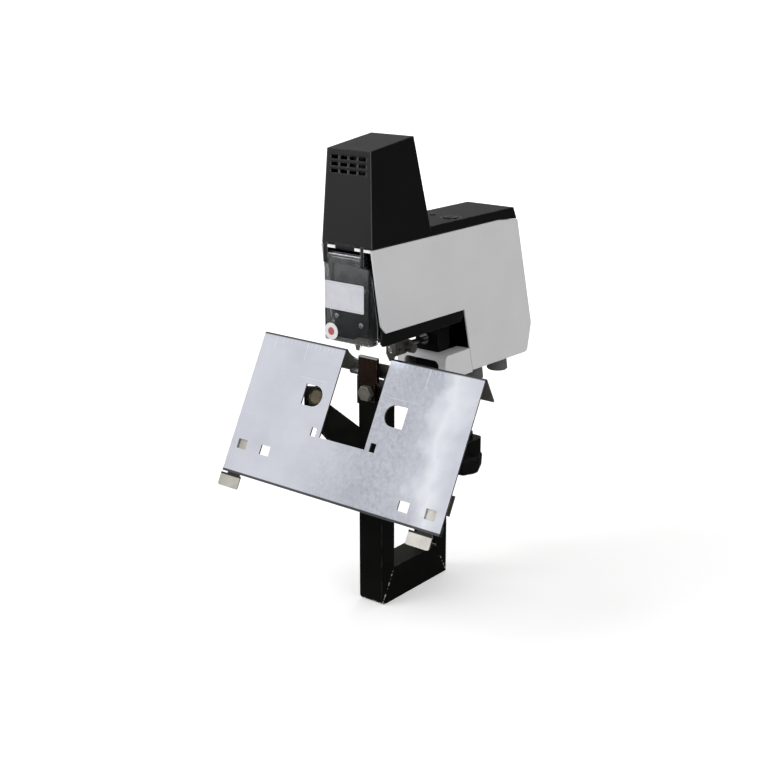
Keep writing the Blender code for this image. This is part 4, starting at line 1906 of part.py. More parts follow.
solenoid_yoke()
solenoid_coil()
plunger()
control_board()

for cover_name, cover_side in (("side_cover_left", -1), ("side_cover_right", 1)):
    side_cover(cover_name, cover_side)
top_cover()
front_strip()
lower_front_cover()
base_plate()
for foot_side, foot_x in (("left", -FOOT_X), ("right", FOOT_X)):
    foot("foot_front_" + foot_side, foot_x, FRONT_FOOT_Y)
    foot("foot_rear_" + foot_side, foot_x, REAR_FOOT_Y)
rear_panel()
mains_inlet()
rocker()
force_dial()

guard()
guard_pin()
back_gauge()
gauge_block()
gauge_rod()
gauge_screw()
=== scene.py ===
from math import cos, pi, radians, sin

import bmesh
import bpy
from mathutils import Matrix, Vector


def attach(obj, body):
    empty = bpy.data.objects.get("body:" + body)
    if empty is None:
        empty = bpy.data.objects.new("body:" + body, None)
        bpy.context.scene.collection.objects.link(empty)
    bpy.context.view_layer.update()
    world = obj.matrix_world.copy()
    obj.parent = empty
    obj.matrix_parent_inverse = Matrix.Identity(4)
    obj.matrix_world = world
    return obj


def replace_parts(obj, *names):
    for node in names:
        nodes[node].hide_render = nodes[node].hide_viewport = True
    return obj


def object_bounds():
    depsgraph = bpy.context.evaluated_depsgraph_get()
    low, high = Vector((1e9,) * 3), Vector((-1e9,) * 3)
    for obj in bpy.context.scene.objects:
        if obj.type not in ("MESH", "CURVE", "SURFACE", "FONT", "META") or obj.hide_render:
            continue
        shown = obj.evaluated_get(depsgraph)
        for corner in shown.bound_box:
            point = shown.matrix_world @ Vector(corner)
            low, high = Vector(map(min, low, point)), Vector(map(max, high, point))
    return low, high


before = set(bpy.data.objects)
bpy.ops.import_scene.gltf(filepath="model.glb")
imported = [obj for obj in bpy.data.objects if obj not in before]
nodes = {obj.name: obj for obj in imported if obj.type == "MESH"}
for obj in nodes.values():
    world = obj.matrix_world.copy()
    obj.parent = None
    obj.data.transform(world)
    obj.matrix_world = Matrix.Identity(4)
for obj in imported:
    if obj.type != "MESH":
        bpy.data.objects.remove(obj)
cad_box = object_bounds()
scene = bpy.context.scene
scene.view_settings.view_transform = "Standard"


# Camera and studio: a plain pale floor, a large soft lamp at the front left, a weak one at the
# right and one behind. The camera sees a white background. Glossy surfaces see white at the
# front left, on the floor only far out, and almost black elsewhere.

def spot(x, y, z):
    """A place given in millimetres from the staple line, the middle of the table's ridge."""
    return Vector((x, y - 147, z + 52)) / 1000


def tone(red, green, blue):
    """A colour as a screen shows it, from 0 to 255, made linear."""
    return (*[(part / 255 / 12.92) if part < 11 else ((part / 255 + 0.055) / 1.055) ** 2.4
              for part in (red, green, blue)], 1)


def join(tree, value, socket):
    """Link an output to a socket, or set the socket to a value."""
    if isinstance(value, bpy.types.NodeSocket):
        tree.links.new(value, socket)
    else:
        socket.default_value = value


def add(tree, kind, sockets=None, **settings):
    """A shader node with its settings and sockets filled in."""
    made = tree.nodes.new("ShaderNode" + kind)
    for name, value in settings.items():
        setattr(made, name, value)
    for name, value in (sockets or {}).items():
        join(tree, value, made.inputs[name])
    return made


def calc(tree, how, *values):
    """The result of a sum on values or outputs."""
    made = add(tree, "Math", operation=how)
    for socket, value in zip(made.inputs, values):
        join(tree, value, socket)
    return made.outputs[0]


def spread(tree, value, low, high, to_low=0.0, to_high=1.0):
    """A value stretched from one range to another and held inside it."""
    made = add(tree, "MapRange", {0: value, 1: low, 2: high, 3: to_low, 4: to_high})
    return made.outputs[0]


def tint(tree, share, first, second):
    """One colour turning into another by a share."""
    made = add(tree, "Mix", {0: share, 6: first, 7: second}, data_type="RGBA")
    return made.outputs[2]


def own_place(tree):
    """The place on the object, which keeps to it when it moves."""
    return add(tree, "TexCoord").outputs["Object"]


def along(tree, vector, direction):
    """How far a vector goes in a direction."""
    made = add(tree, "VectorMath", {0: vector, 1: direction}, operation="DOT_PRODUCT")
    return made.outputs["Value"]


def length_of(tree, vector):
    """The length of a vector."""
    return add(tree, "VectorMath", {0: vector}, operation="LENGTH").outputs["Value"]


def times(tree, first, *others):
    """The product of values or outputs."""
    for other in others:
        first = calc(tree, "MULTIPLY", first, other)
    return first


def largest(tree, first, *others):
    """The largest of values or outputs."""
    for other in others:
        first = calc(tree, "MAXIMUM", first, other)
    return first


def seen_directly(tree):
    """1 for rays from the camera, off glossy surfaces and through clear ones, otherwise 0."""
    rays = add(tree, "LightPath").outputs
    return largest(tree, rays["Is Camera Ray"], rays["Is Glossy Ray"], rays["Is Transmission Ray"])


camera = bpy.data.objects.new("camera", bpy.data.cameras.new("camera"))
camera.data.lens = 62.49
camera.data.sensor_width = 36
camera.data.clip_end = 100
camera.location = (0.71859, -1.02778, 0.37011)
camera.rotation_euler = (radians(90 - 16.967), 0, radians(38.558))
scene.collection.objects.link(camera)
scene.camera = camera

TO_WHITE_WALL = (-0.66, -0.75, 0)
BLACK_WALL = 0.05
ROOM_BLACK_AT, ROOM_WHITE_AT = -0.6, 0.6
FLOOR_BLACK_AT, FLOOR_WHITE_AT = 1.1, 2.4
ROOM_LIGHT = 0.50


def walls(tree, place, black_at, white_at):
    """Share of light that a glossy surface gets from a direction or a place on the floor."""
    share = spread(tree, along(tree, place, TO_WHITE_WALL), black_at, white_at, BLACK_WALL, 1.0)
    glossy = add(tree, "LightPath").outputs["Is Glossy Ray"]
    return spread(tree, glossy, 0.0, 1.0, 1.0, share)


studio = bpy.data.worlds.new("studio")
studio.use_nodes = True
scene.world = studio
room = studio.node_tree
join(room, (1, 1, 1, 1), room.nodes["Background"].inputs["Color"])
strength = spread(room, seen_directly(room), 0.0, 1.0, ROOM_LIGHT, 1.0)
outwards = add(room, "TexCoord").outputs["Generated"]
strength = times(room, strength, walls(room, outwards, ROOM_BLACK_AT, ROOM_WHITE_AT))
join(room, strength, room.nodes["Background"].inputs["Strength"])


LAMP_AIM = spot(0, 60, 0)


def soft_lamp(name, place, size, power):
    """A square lamp that faces the machine and isn't mirrored in it."""
    lamp = bpy.data.lights.new(name, "AREA")
    lamp.size = size
    lamp.energy = power
    made = bpy.data.objects.new(name, lamp)
    made.location = place
    made.visible_glossy = False
    made.rotation_euler = (LAMP_AIM - Vector(place)).to_track_quat("-Z", "Y").to_euler()
    scene.collection.objects.link(made)


soft_lamp("lamp_front_left", (-1.15, -1.65, 1.65), size=1.5, power=34)
soft_lamp("lamp_right", (1.9, -0.7, 0.9), size=1.2, power=7)
soft_lamp("lamp_behind", (-0.3, 1.5, 1.9), size=1.4, power=16)

bpy.ops.object.select_all(action="DESELECT")
bpy.ops.mesh.primitive_plane_add(size=60, location=(0, 0, cad_box[0].z))
floor = bpy.context.object
floor.name = "floor"
paper = bpy.data.materials.new("pale_floor")
paper.use_nodes = True
tree = paper.node_tree
matt = tree.nodes["Principled BSDF"]
clouds = add(tree, "TexNoise", {"Vector": own_place(tree), "Scale": 3.0})
pale = tint(tree, clouds.outputs[0], tone(232, 232, 231), tone(236, 236, 236))
place = add(tree, "NewGeometry").outputs["Position"]
lit = walls(tree, place, FLOOR_BLACK_AT, FLOOR_WHITE_AT)
join(tree, tint(tree, lit, (0, 0, 0, 1), pale), matt.inputs["Base Color"])
matt.inputs["Roughness"].default_value = 0.9
SHADOW_REACH, WHITE_FROM, NEAR_GLOW = 0.4, 2.5, 0.34
whiter = spread(tree, length_of(tree, place), SHADOW_REACH, WHITE_FROM, NEAR_GLOW, 1.0)
glow = times(tree, seen_directly(tree), whiter, lit)
join(tree, (1, 1, 1, 1), matt.inputs["Emission Color"])
join(tree, glow, matt.inputs["Emission Strength"])
floor.data.materials.append(paper)


# U frame and clamp arm: black flat bar, mitred, welded and painted with a semi-gloss powder coat.
# Its skin is faintly pebbled, edges are rubbed grey, and the paint has chipped off the welds at
# the lower corners.

def effect(name, inputs, outputs):
    """An empty node group for an effect that several finishes share, with its two end nodes."""
    tree = bpy.data.node_groups.new(name, "ShaderNodeTree")
    for label, value in inputs.items():
        kind = "NodeSocketVector" if isinstance(value, tuple) else "NodeSocketFloat"
        socket = tree.interface.new_socket(name=label, in_out="INPUT", socket_type=kind)
        socket.default_value = value
    for label in outputs:
        tree.interface.new_socket(name=label, in_out="OUTPUT", socket_type="NodeSocketFloat")
    return tree, tree.nodes.new("NodeGroupInput").outputs, tree.nodes.new("NodeGroupOutput").inputs


def level(z):
    """A height in metres, given in millimetres from the staple line."""
    return spot(0, 0, z).z


def parts_of(tree, vector):
    """The X, Y and Z of a vector."""
    return add(tree, "SeparateXYZ", {0: vector}).outputs


def apart(tree, vector, place):
    """A vector less a place."""
    return add(tree, "VectorMath", {0: vector, 1: place}, operation="SUBTRACT").outputs[0]


def rounded(tree, radius):
    """The direction that a surface faces, turned at its corners as if they were this round."""
    return add(tree, "Bevel", {"Radius": radius}, samples=6).outputs[0]


def noise(tree, vector, scale, detail=2.0, rough=0.5):
    """Values of a cloud pattern, from 0 to 1."""
    sockets = {"Vector": vector, "Scale": scale, "Detail": detail, "Roughness": rough}
    return add(tree, "TexNoise", sockets).outputs[0]


surface_grain, given, made = effect("surface_grain", {"Size": 0.0008, "Patch size": 0.03},
                                    ("Skin", "Patches", "Pits"))
where = own_place(surface_grain)
fineness = calc(surface_grain, "DIVIDE", 1.0, given["Size"])
join(surface_grain, noise(surface_grain, where, fineness, 2.0, 0.55), made["Skin"])
wide = calc(surface_grain, "DIVIDE", 1.0, given["Patch size"])
join(surface_grain, noise(surface_grain, where, wide, 5.0, 0.6), made["Patches"])
cells = add(surface_grain, "TexVoronoi", {"Vector": where, "Scale": fineness})
join(surface_grain, spread(surface_grain, cells.outputs["Distance"], 0.0, 0.55), made["Pits"])

rubbed_edges, given, made = effect("rubbed_edges", {"Width": 0.0006, "Amount": 0.5}, ("Mask",))
softened = rounded(rubbed_edges, given["Width"])
facing = add(rubbed_edges, "NewGeometry").outputs["Normal"]
edge = spread(rubbed_edges, along(rubbed_edges, softened, facing), 0.995, 0.86)
patchy = noise(rubbed_edges, own_place(rubbed_edges), 160.0, 4.0, 0.7)
patchy = spread(rubbed_edges, patchy, 0.42, 0.62)
join(rubbed_edges, times(rubbed_edges, edge, patchy, given["Amount"]), made["Mask"])

settled_dust, given, made = effect("settled_dust", {"Amount": 0.2}, ("Mask",))
upward = parts_of(settled_dust, add(settled_dust, "NewGeometry").outputs["Normal"])["Z"]
flecks = noise(settled_dust, own_place(settled_dust), 900.0, 3.0, 0.7)
flecks = spread(settled_dust, flecks, 0.5, 0.75, 0.25, 1.0)
upward = spread(settled_dust, upward, 0.3, 1.0)
join(settled_dust, times(settled_dust, upward, flecks, given["Amount"]), made["Mask"])


def finish(name, metallic=0.0, shine=0.5):
    """A new material with its node tree and shader."""
    material = bpy.data.materials.new(name)
    material.use_nodes = True
    shader = material.node_tree.nodes["Principled BSDF"]
    shader.inputs["Metallic"].default_value = metallic
    shader.inputs["Specular IOR Level"].default_value = shine
    return material, material.node_tree, shader


def opened(material):
    """A material's node tree and shader, for more work on it."""
    return material.node_tree, material.node_tree.nodes["Principled BSDF"]


def overlay(tree, shader, mask, colour):
    """Put a colour over a finished material where a mask is 1."""
    below = shader.inputs["Base Color"].links[0].from_socket
    join(tree, tint(tree, mask, below, colour), shader.inputs["Base Color"])


def shared(tree, group, sockets):
    """The outputs of a shared effect with this material's own values."""
    return add(tree, "Group", sockets, node_tree=group).outputs


def grained(tree, size, patch):
    """The surface grain with its own fineness and width of patches."""
    return shared(tree, surface_grain, {"Size": size, "Patch size": patch})


def mottle(tree, grain, first, second):
    """Two colours in the soft patches of the surface grain."""
    return tint(tree, spread(tree, grain["Patches"], 0.3, 0.7), first, second)


def look(tree, shader, colour, rough):
    """Give a shader its colour and its roughness."""
    join(tree, colour, shader.inputs["Base Color"])
    join(tree, rough, shader.inputs["Roughness"])


def raised(tree, shader, height, strength, depth, corner=0.0):
    """Give a shader a relief, and corners of this radius where one is given."""
    bump = add(tree, "Bump", {"Height": height, "Strength": strength, "Distance": depth})
    if corner:
        join(tree, rounded(tree, corner), bump.inputs["Normal"])
    join(tree, bump.outputs[0], shader.inputs["Normal"])


def dress(material, *names):
    """Give CAD pieces this finish."""
    for name in names:
        for slot in nodes[name].material_slots:
            slot.material = material


def powder_coat(name, light, dark, roughness, shine, bare, wear=0.5, dust=0.15, corner=0.0006):
    """Paint baked from powder: pebbled, faintly clouded, rubbed at its edges, dusty on top."""
    material, tree, shader = finish(name, shine=shine)
    grain = grained(tree, 0.0009, 0.04)
    rubbed = shared(tree, rubbed_edges, {"Width": 0.0007, "Amount": wear})[0]
    dusty = shared(tree, settled_dust, {"Amount": dust})[0]
    colour = mottle(tree, grain, dark, light)
    colour = tint(tree, dusty, colour, tone(150, 148, 142))
    colour = tint(tree, rubbed, colour, bare)
    patchy = spread(tree, grain["Patches"], 0.3, 0.7, roughness - 0.05, roughness + 0.06)
    look(tree, shader, colour, calc(tree, "ADD", patchy, times(tree, dusty, 0.5)))
    raised(tree, shader, grain["Skin"], 0.22, 0.00012, corner)
    return material


def within(tree, value, low, high, blur):
    """1 where a value lies between two others, with soft ends."""
    up = spread(tree, value, low - blur, low + blur)
    return times(tree, up, spread(tree, value, high + blur, high - blur))


def line_mask(tree, first, second, half_width):
    """1 close to a line across the machine, given by two places in the side view."""
    first, second = spot(0, *first), spot(0, *second)
    run = (second - first).normalized()
    off = along(tree, apart(tree, own_place(tree), first), Vector((0, -run.z, run.y)))
    return spread(tree, calc(tree, "ABSOLUTE", off), half_width, half_width * 0.6)


CHIPS_BELOW, ALL_CHIPPED = -204, -208
frame_paint = powder_coat("frame_paint", tone(21, 21, 20), tone(16, 16, 15), roughness=0.36, shine=0.06,
                          bare=tone(120, 116, 108))
tree, shader = opened(frame_paint)
where = own_place(tree)
chips = spread(tree, noise(tree, where, 330.0, 5.0, 0.75), 0.53, 0.56)
front_mitre = line_mask(tree, (19.4, -209.8), (1.0, -243.0), 0.00075)
rear_mitre = line_mask(tree, (85.0, -209.8), (102.0, -243.0), 0.0005)
low_edge = line_mask(tree, (1.0, -241.8), (7.0, -243.4), 0.0011)
low_down = spread(tree, parts_of(tree, where)["Z"], level(CHIPS_BELOW), level(ALL_CHIPPED))
chipped = times(tree, chips, low_down, largest(tree, front_mitre, low_edge, rear_mitre))
overlay(tree, shader, chipped, tone(215, 213, 208))
dress(frame_paint, "front_column", "bottom_bar", "rear_column", "clamp_arm")


# Weld beads along the four visible mitre lines of the frame: laid by hand, ground nearly flush
# and painted with the frame, so that only a low uneven ridge is left in the joint.

def begin(add_primitive, name, **sizes):
    """Add a primitive with nothing else selected, and name it."""
    bpy.ops.object.select_all(action="DESELECT")
    add_primitive(**sizes)
    made = bpy.context.object
    made.name = made.data.name = name
    return made


def editing(on):
    """Go into edit mode or back to object mode."""
    bpy.ops.object.mode_set(mode="EDIT" if on else "OBJECT")


def settle(made, smooth_angle=None):
    """Put an object's place and size into its mesh, with faces outwards."""
    bpy.ops.object.transform_apply(location=True, rotation=True, scale=True)
    editing(True)
    bpy.ops.mesh.select_all(action="SELECT")
    bpy.ops.mesh.normals_make_consistent(inside=False)
    editing(False)
    if smooth_angle:
        bpy.ops.object.shade_smooth_by_angle(angle=radians(smooth_angle))
    return made


def turned_to(direction, side="X"):
    """The turn that points an upright object in a direction."""
    return Vector(direction).to_track_quat("Z", side).to_matrix().to_4x4()


BEAD_RADIUS, BEAD_CUTS, BEAD_SIDE = 0.0008, 34, 13.1
SHORT_RIPPLE, LONG_RIPPLE = 2600, 911


def weld_bead(name, first, second):
    """An uneven bead between two places, flattened sideways and thinner at its ends."""
    length = (second - first).length
    made = begin(bpy.ops.mesh.primitive_cylinder_add, name, vertices=10, radius=BEAD_RADIUS, depth=length)
    editing(True)
    mesh = bmesh.from_edit_mesh(made.data)
    bpy.ops.mesh.select_all(action="DESELECT")
    for side in mesh.edges:
        side.select_set(abs(side.verts[0].co.z - side.verts[1].co.z) > length / 2)
    bpy.ops.mesh.subdivide(number_cuts=BEAD_CUTS)
    mesh = bmesh.from_edit_mesh(made.data)
    for point in mesh.verts:
        ripple = 1 + 0.22 * sin(point.co.z * SHORT_RIPPLE) + 0.12 * sin(point.co.z * LONG_RIPPLE)
        ends = 0.45 if abs(point.co.z) > length / 2 - 1e-5 else 1
        point.co.x *= ripple * ends * 0.55
        point.co.y *= ripple * ends
    bmesh.update_edit_mesh(made.data)
    editing(False)
    made.matrix_world = Matrix.Translation((first + second) / 2) @ turned_to(second - first)
    settle(made, 60)
    made.data.materials.append(frame_paint)
    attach(made, "frame")


for label, x in (("left", -BEAD_SIDE), ("right", BEAD_SIDE)):
    weld_bead("weld_front_" + label, spot(x, 19.0, -210.5), spot(x, 2.9, -239.6))
    weld_bead("weld_rear_" + label, spot(x, 85.4, -210.5), spot(x, 101.3, -241.6))


# Desk clamp: a steel screw with a rolled thread, turned from below by a moulded knob, pushes a
# turned steel pad up against the desk. The threaded rod stands for the CAD's plain one.

def turned_rings(tree, centre, axis, scale):
    """Fine lathe lines round an axis: by length on the sides, by radius on the ends."""
    local = apart(tree, own_place(tree), centre)
    turn = Vector(axis).rotation_difference(Vector((0, 0, 1))).to_euler()
    local = add(tree, "Mapping", {"Vector": local, "Rotation": turn}).outputs[0]
    parts = parts_of(tree, local)
    flat = add(tree, "CombineXYZ", {"X": parts["X"], "Y": parts["Y"]}).outputs[0]
    line = times(tree, calc(tree, "ADD", parts["Z"], length_of(tree, flat)), scale)
    return add(tree, "TexNoise", {"W": line, "Scale": 1.0, "Detail": 3.0}, noise_dimensions="1D").outputs[0]


def lathe_steel(name, colour, centre, axis, roughness=0.27, metallic=1.0):
    """Turned bright steel with lathe lines, faint stains and lighter edges."""
    material, tree, shader = finish(name, metallic)
    grain = grained(tree, 0.0006, 0.008)
    rubbed = shared(tree, rubbed_edges, {"Width": 0.0004, "Amount": 0.6})[0]
    lines = turned_rings(tree, centre, axis, 5200.0)
    dark = tuple(part * 0.72 for part in colour[:3]) + (1,)
    body = tint(tree, rubbed, mottle(tree, grain, dark, colour), tone(235, 235, 232))
    look(tree, shader, body, spread(tree, lines, 0.3, 0.7, roughness - 0.07, roughness + 0.09))
    raised(tree, shader, lines, 0.18, 0.00005)
    return material


SCREW_PITCH = 0.00175
SCREW_CREST, SCREW_ROOT = 0.00595, 0.0050
SCREW_LOW, SCREW_TURNS = -135.5, 34
NECK_RADIUS, NECK_LENGTH, NECK_RISE = 0.0039, 0.010, 0.0020
MERGE = 0.00001

threads = begin(bpy.ops.mesh.primitive_plane_add, "clamp_threads", size=SCREW_PITCH)
editing(True)
mesh = bmesh.from_edit_mesh(threads.data)
mesh.clear()
profile = [(SCREW_ROOT, 0.0), (SCREW_ROOT, 0.12), (SCREW_CREST, 0.5), (SCREW_CREST, 0.62),
           (SCREW_ROOT, 1.0)]
points = [mesh.verts.new((radius, 0, share * SCREW_PITCH)) for radius, share in profile]
for first, second in zip(points, points[1:]):
    mesh.edges.new((first, second))
bmesh.update_edit_mesh(threads.data)
editing(False)
winding = threads.modifiers.new("winding", "SCREW")
winding.angle = 2 * pi
winding.screw_offset = SCREW_PITCH
winding.iterations = SCREW_TURNS
winding.steps = winding.render_steps = 22
winding.use_merge_vertices = True
winding.merge_threshold = MERGE
bpy.ops.object.modifier_apply(modifier="winding")
editing(True)
bpy.ops.mesh.select_all(action="SELECT")
bpy.ops.mesh.remove_doubles(threshold=MERGE)
bpy.ops.mesh.select_all(action="SELECT")
bpy.ops.mesh.fill_holes(sides=0)
bpy.ops.mesh.select_all(action="DESELECT")
bpy.ops.mesh.primitive_cylinder_add(vertices=28, radius=NECK_RADIUS, depth=NECK_LENGTH,
                                    location=(0, 0, SCREW_TURNS * SCREW_PITCH + NECK_RISE))
editing(False)
threads.location = spot(0, 147, SCREW_LOW)
settle(threads, 35)
thread_steel = lathe_steel("thread_steel", tone(176, 178, 180), spot(0, 147, 0), (0, 0, 1), 0.3)
threads.data.materials.append(thread_steel)
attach(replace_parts(threads, "clamp_screw"), "clamp_screw_body")
dress(thread_steel, "clamp_screw")
dress(lathe_steel("pad_steel", tone(188, 189, 190), spot(0, 147, 0), (0, 0, 1), 0.34), "clamp_pad")


def moulded(name, light, dark, roughness, shine, size=0.0004, wear=0.3, corner=0.0006):
    """Injection-moulded plastic with a fine etched texture, shinier where hands rub its edges."""
    material, tree, shader = finish(name, shine=shine)
    grain = grained(tree, size, 0.05)
    rubbed = shared(tree, rubbed_edges, {"Width": 0.0009, "Amount": wear})[0]
    dusty = shared(tree, settled_dust, {"Amount": 0.1})[0]
    colour = mottle(tree, grain, dark, light)
    colour = tint(tree, rubbed, colour, tone(96, 96, 98))
    colour = tint(tree, dusty, colour, tone(140, 139, 136))
    patchy = spread(tree, grain["Patches"], 0.25, 0.75, roughness - 0.04, roughness + 0.05)
    patchy = calc(tree, "ADD", patchy, times(tree, grain["Pits"], 0.05))
    look(tree, shader, colour, calc(tree, "SUBTRACT", patchy, times(tree, rubbed, 0.2)))
    raised(tree, shader, grain["Pits"], 0.25, 0.00008, corner)
    return material


dress(moulded("knob_plastic", tone(24, 24, 25), tone(16, 16, 16), roughness=0.42, shine=0.2,
              size=0.0007, wear=0.5), "clamp_knob")


# Anvil and its bolt: hardened tool steel, blued brown, with its top ground bright where the
# staple legs are clinched; a plain hexagon bolt of machined steel holds it to the column.

def dark_steel(name, light, dark, roughness=0.34, stretch=(60.0, 60.0, 900.0), wear=0.7):
    """Blackened steel, ground before it was coloured: streaks, oily clouds and bright edges."""
    material, tree, shader = finish(name, 0.85)
    grain = grained(tree, 0.0005, 0.012)
    rubbed = shared(tree, rubbed_edges, {"Width": 0.0005, "Amount": wear})[0]
    drawn = add(tree, "Mapping", {"Vector": own_place(tree), "Scale": stretch}).outputs[0]
    streaks = noise(tree, drawn, 1.0, 3.0, 0.6)
    body = tint(tree, rubbed, mottle(tree, grain, dark, light), tone(178, 174, 166))
    look(tree, shader, body, spread(tree, streaks, 0.3, 0.7, roughness - 0.06, roughness + 0.10))
    raised(tree, shader, streaks, 0.15, 0.00006)
    return material


GROUND_FROM, GROUND_TO = -4.3, 0
anvil_steel = dark_steel("anvil_steel", tone(60, 42, 32), tone(40, 28, 21), roughness=0.30, wear=1.0)
tree, shader = opened(anvil_steel)
height = parts_of(tree, own_place(tree))["Z"]
ground = within(tree, height, level(GROUND_FROM), level(GROUND_TO), 0.0002)
overlay(tree, shader, ground, tone(222, 220, 212))
dress(anvil_steel, "anvil")
dress(lathe_steel("bolt_steel", tone(126, 124, 114), spot(0, 0, -36), (0, 1, 0), roughness=0.36,
                  metallic=0.55), "anvil_bolt")


# Saddle table: one sheet of plated steel, brushed along the ridge, stamped and folded. A painted
# reflection darkens it in patches from the middle to the right and lightens a band beyond; painted
# shade darkens its back, its fold and its lower lip. Guide lines and plain ticks are etched under the
# ridge. It turns on a rod between two ears; the ears and the stop rail are painted black.

brushed, given, made = effect("brushed_grain", {"Stretch": (6.0, 700.0, 700.0)},
                              ("Streaks", "Scratches"))
drawn = add(brushed, "Mapping", {"Vector": own_place(brushed), "Scale": given["Stretch"]}).outputs[0]
join(brushed, noise(brushed, drawn, 1.0, 4.0, 0.65), made["Streaks"])
scored = spread(brushed, noise(brushed, drawn, 0.37, 2.0, 0.5), 0.70, 0.76)
join(brushed, scored, made["Scratches"])


def sheet_steel(name, light, dark, roughness, stretch, metallic=1.0, patch=0.05, edge=0.0005, wear=0.5):
    """Plated sheet: brushed streaks, a few scratches, cloudy patches and bright cut edges."""
    material, tree, shader = finish(name, metallic)
    grain = grained(tree, 0.0012, patch)
    brush = shared(tree, brushed, {"Stretch": stretch})
    rubbed = shared(tree, rubbed_edges, {"Width": edge, "Amount": wear})[0]
    clouded = spread(tree, grain["Patches"], 0.28, 0.72)
    body = tint(tree, clouded, dark, light)
    body = tint(tree, times(tree, brush["Scratches"], 0.35), body, tone(236, 236, 238))
    rough = spread(tree, brush["Streaks"], 0.3, 0.7, roughness - 0.05, roughness + 0.07)
    rough = calc(tree, "ADD", rough, spread(tree, clouded, 0.0, 1.0, 0.05, -0.03))
    look(tree, shader, tint(tree, rubbed, body, tone(240, 240, 240)), rough)
    raised(tree, shader, brush["Streaks"], 0.12, 0.00005)
    return material


def own_normal(tree):
    """The direction that a surface faces at rest, so that a mask stays when a pose turns it."""
    return add(tree, "TexCoord").outputs["Normal"]


RIDGE = spot(0, 0, 1.2)
SADDLE_ANGLE = radians(62.3)
slope = Vector((0, -cos(SADDLE_ANGLE), -sin(SADDLE_ANGLE)))
# Metres across from the plate's middle, or down the front leaf from the ridge.
DARK_REFLECTION_FROM, DARK_REFLECTION_TO = -0.005, 0.092
BRIGHT_REFLECTION_FROM, BRIGHT_REFLECTION_TO = 0.097, 0.116
FOLD_SHADE, LIP_SHADE = 0.0030, 0.1350
GUIDE_LINES = ((0.0695, 0.004, 0.021), (0.109, 0.004, 0.0155))
TICK_ROWS = ((0.005, 0.0045, 0.0070), (0.010, 0.0045, 0.0088))
TICKS_FROM, TICKS_TO = 0.0345, 0.1005
BASE_LINE, BASE_FROM, BASE_TO = 0.0354, 0.036, 0.070

# The table's strong edge wear brightens its cut edges: partly bare metal, partly a painted highlight.
plate_steel = sheet_steel("plate_steel", tone(216, 218, 226), tone(203, 206, 216), roughness=0.37,
                          stretch=(7.0, 800.0, 800.0), edge=0.0012, wear=1.0)
tree, shader = opened(plate_steel)
where = own_place(tree)
from_ridge = apart(tree, where, RIDGE)
down = along(tree, from_ridge, slope)
side = parts_of(tree, from_ridge)["X"]
wavy = calc(tree, "ADD", side, spread(tree, noise(tree, where, 14.0, 3.0, 0.6), 0.3, 0.7, -0.02, 0.02))
# Painted reflection: darker mottled patches from the middle towards the right end, and a bright band beyond
# them.
mottled = spread(tree, noise(tree, where, 260.0, 4.0, 0.7), 0.35, 0.65, 0.35, 1.0)
painted_dark_reflection = times(tree, within(tree, wavy, DARK_REFLECTION_FROM, DARK_REFLECTION_TO, 0.030), mottled, 0.65)
overlay(tree, shader, painted_dark_reflection, tone(158, 162, 172))
overlay(tree, shader, within(tree, wavy, BRIGHT_REFLECTION_FROM, BRIGHT_REFLECTION_TO, 0.010), tone(236, 238, 245))
# Painted shade: faces on the plate's back side are darkened and made less metallic.
painted_back_shade = spread(tree, parts_of(tree, own_normal(tree))["Z"], 0.0, -0.15)
overlay(tree, shader, painted_back_shade, tone(92, 90, 84))
join(tree, spread(tree, painted_back_shade, 0.0, 1.0, 1.0, 0.2), shader.inputs["Metallic"])
# Painted shade: dark bands along the fold at the ridge and along the lower lip.
ends = largest(tree, spread(tree, down, FOLD_SHADE + 0.0010, FOLD_SHADE),
               spread(tree, down, LIP_SHADE, LIP_SHADE + 0.0006))
overlay(tree, shader, times(tree, ends, 0.9), tone(44, 44, 46))
across = calc(tree, "ABSOLUTE", side)
marks = []
for middle, top, bottom in GUIDE_LINES:
    marks.append(times(tree, within(tree, across, middle - 0.0003, middle + 0.0003, 0.00012),
                       within(tree, down, top, bottom, 0.0002)))
for step, top, bottom in TICK_ROWS:
    off = calc(tree, "PINGPONG", across, step / 2)
    marks.append(times(tree, spread(tree, off, 0.0003, 0.00015), within(tree, down, top, bottom, 0.0002),
                       within(tree, across, TICKS_FROM, TICKS_TO, 0.0001)))
marks.append(times(tree, within(tree, down, BASE_LINE - 0.0002, BASE_LINE + 0.0002, 0.00012),
                   within(tree, across, BASE_FROM, BASE_TO, 0.0002)))
front_leaf = spread(tree, parts_of(tree, from_ridge)["Y"], 0.0, -0.0004)
etched = times(tree, largest(tree, *marks), times(tree, front_leaf, 0.8))
overlay(tree, shader, etched, tone(246, 246, 248))
satin = shader.inputs["Roughness"].links[0].from_socket
join(tree, calc(tree, "ADD", satin, times(tree, etched, 0.3)), shader.inputs["Roughness"])
dress(plate_steel, "table_plate")
rail_paint = powder_coat("rail_paint", tone(44, 44, 44), tone(30, 30, 30), roughness=0.38, shine=0.25,
                         bare=tone(150, 148, 144), wear=0.8)
dress(rail_paint, "stop_rail", "table_hinge")


# Paper stops: nickelled steel strip, blanked and left satin. They slide along the rail behind
# the plate and show in its windows; painted shade darkens them under the plate's lower edge, and
# darkens the right one's outer ear.

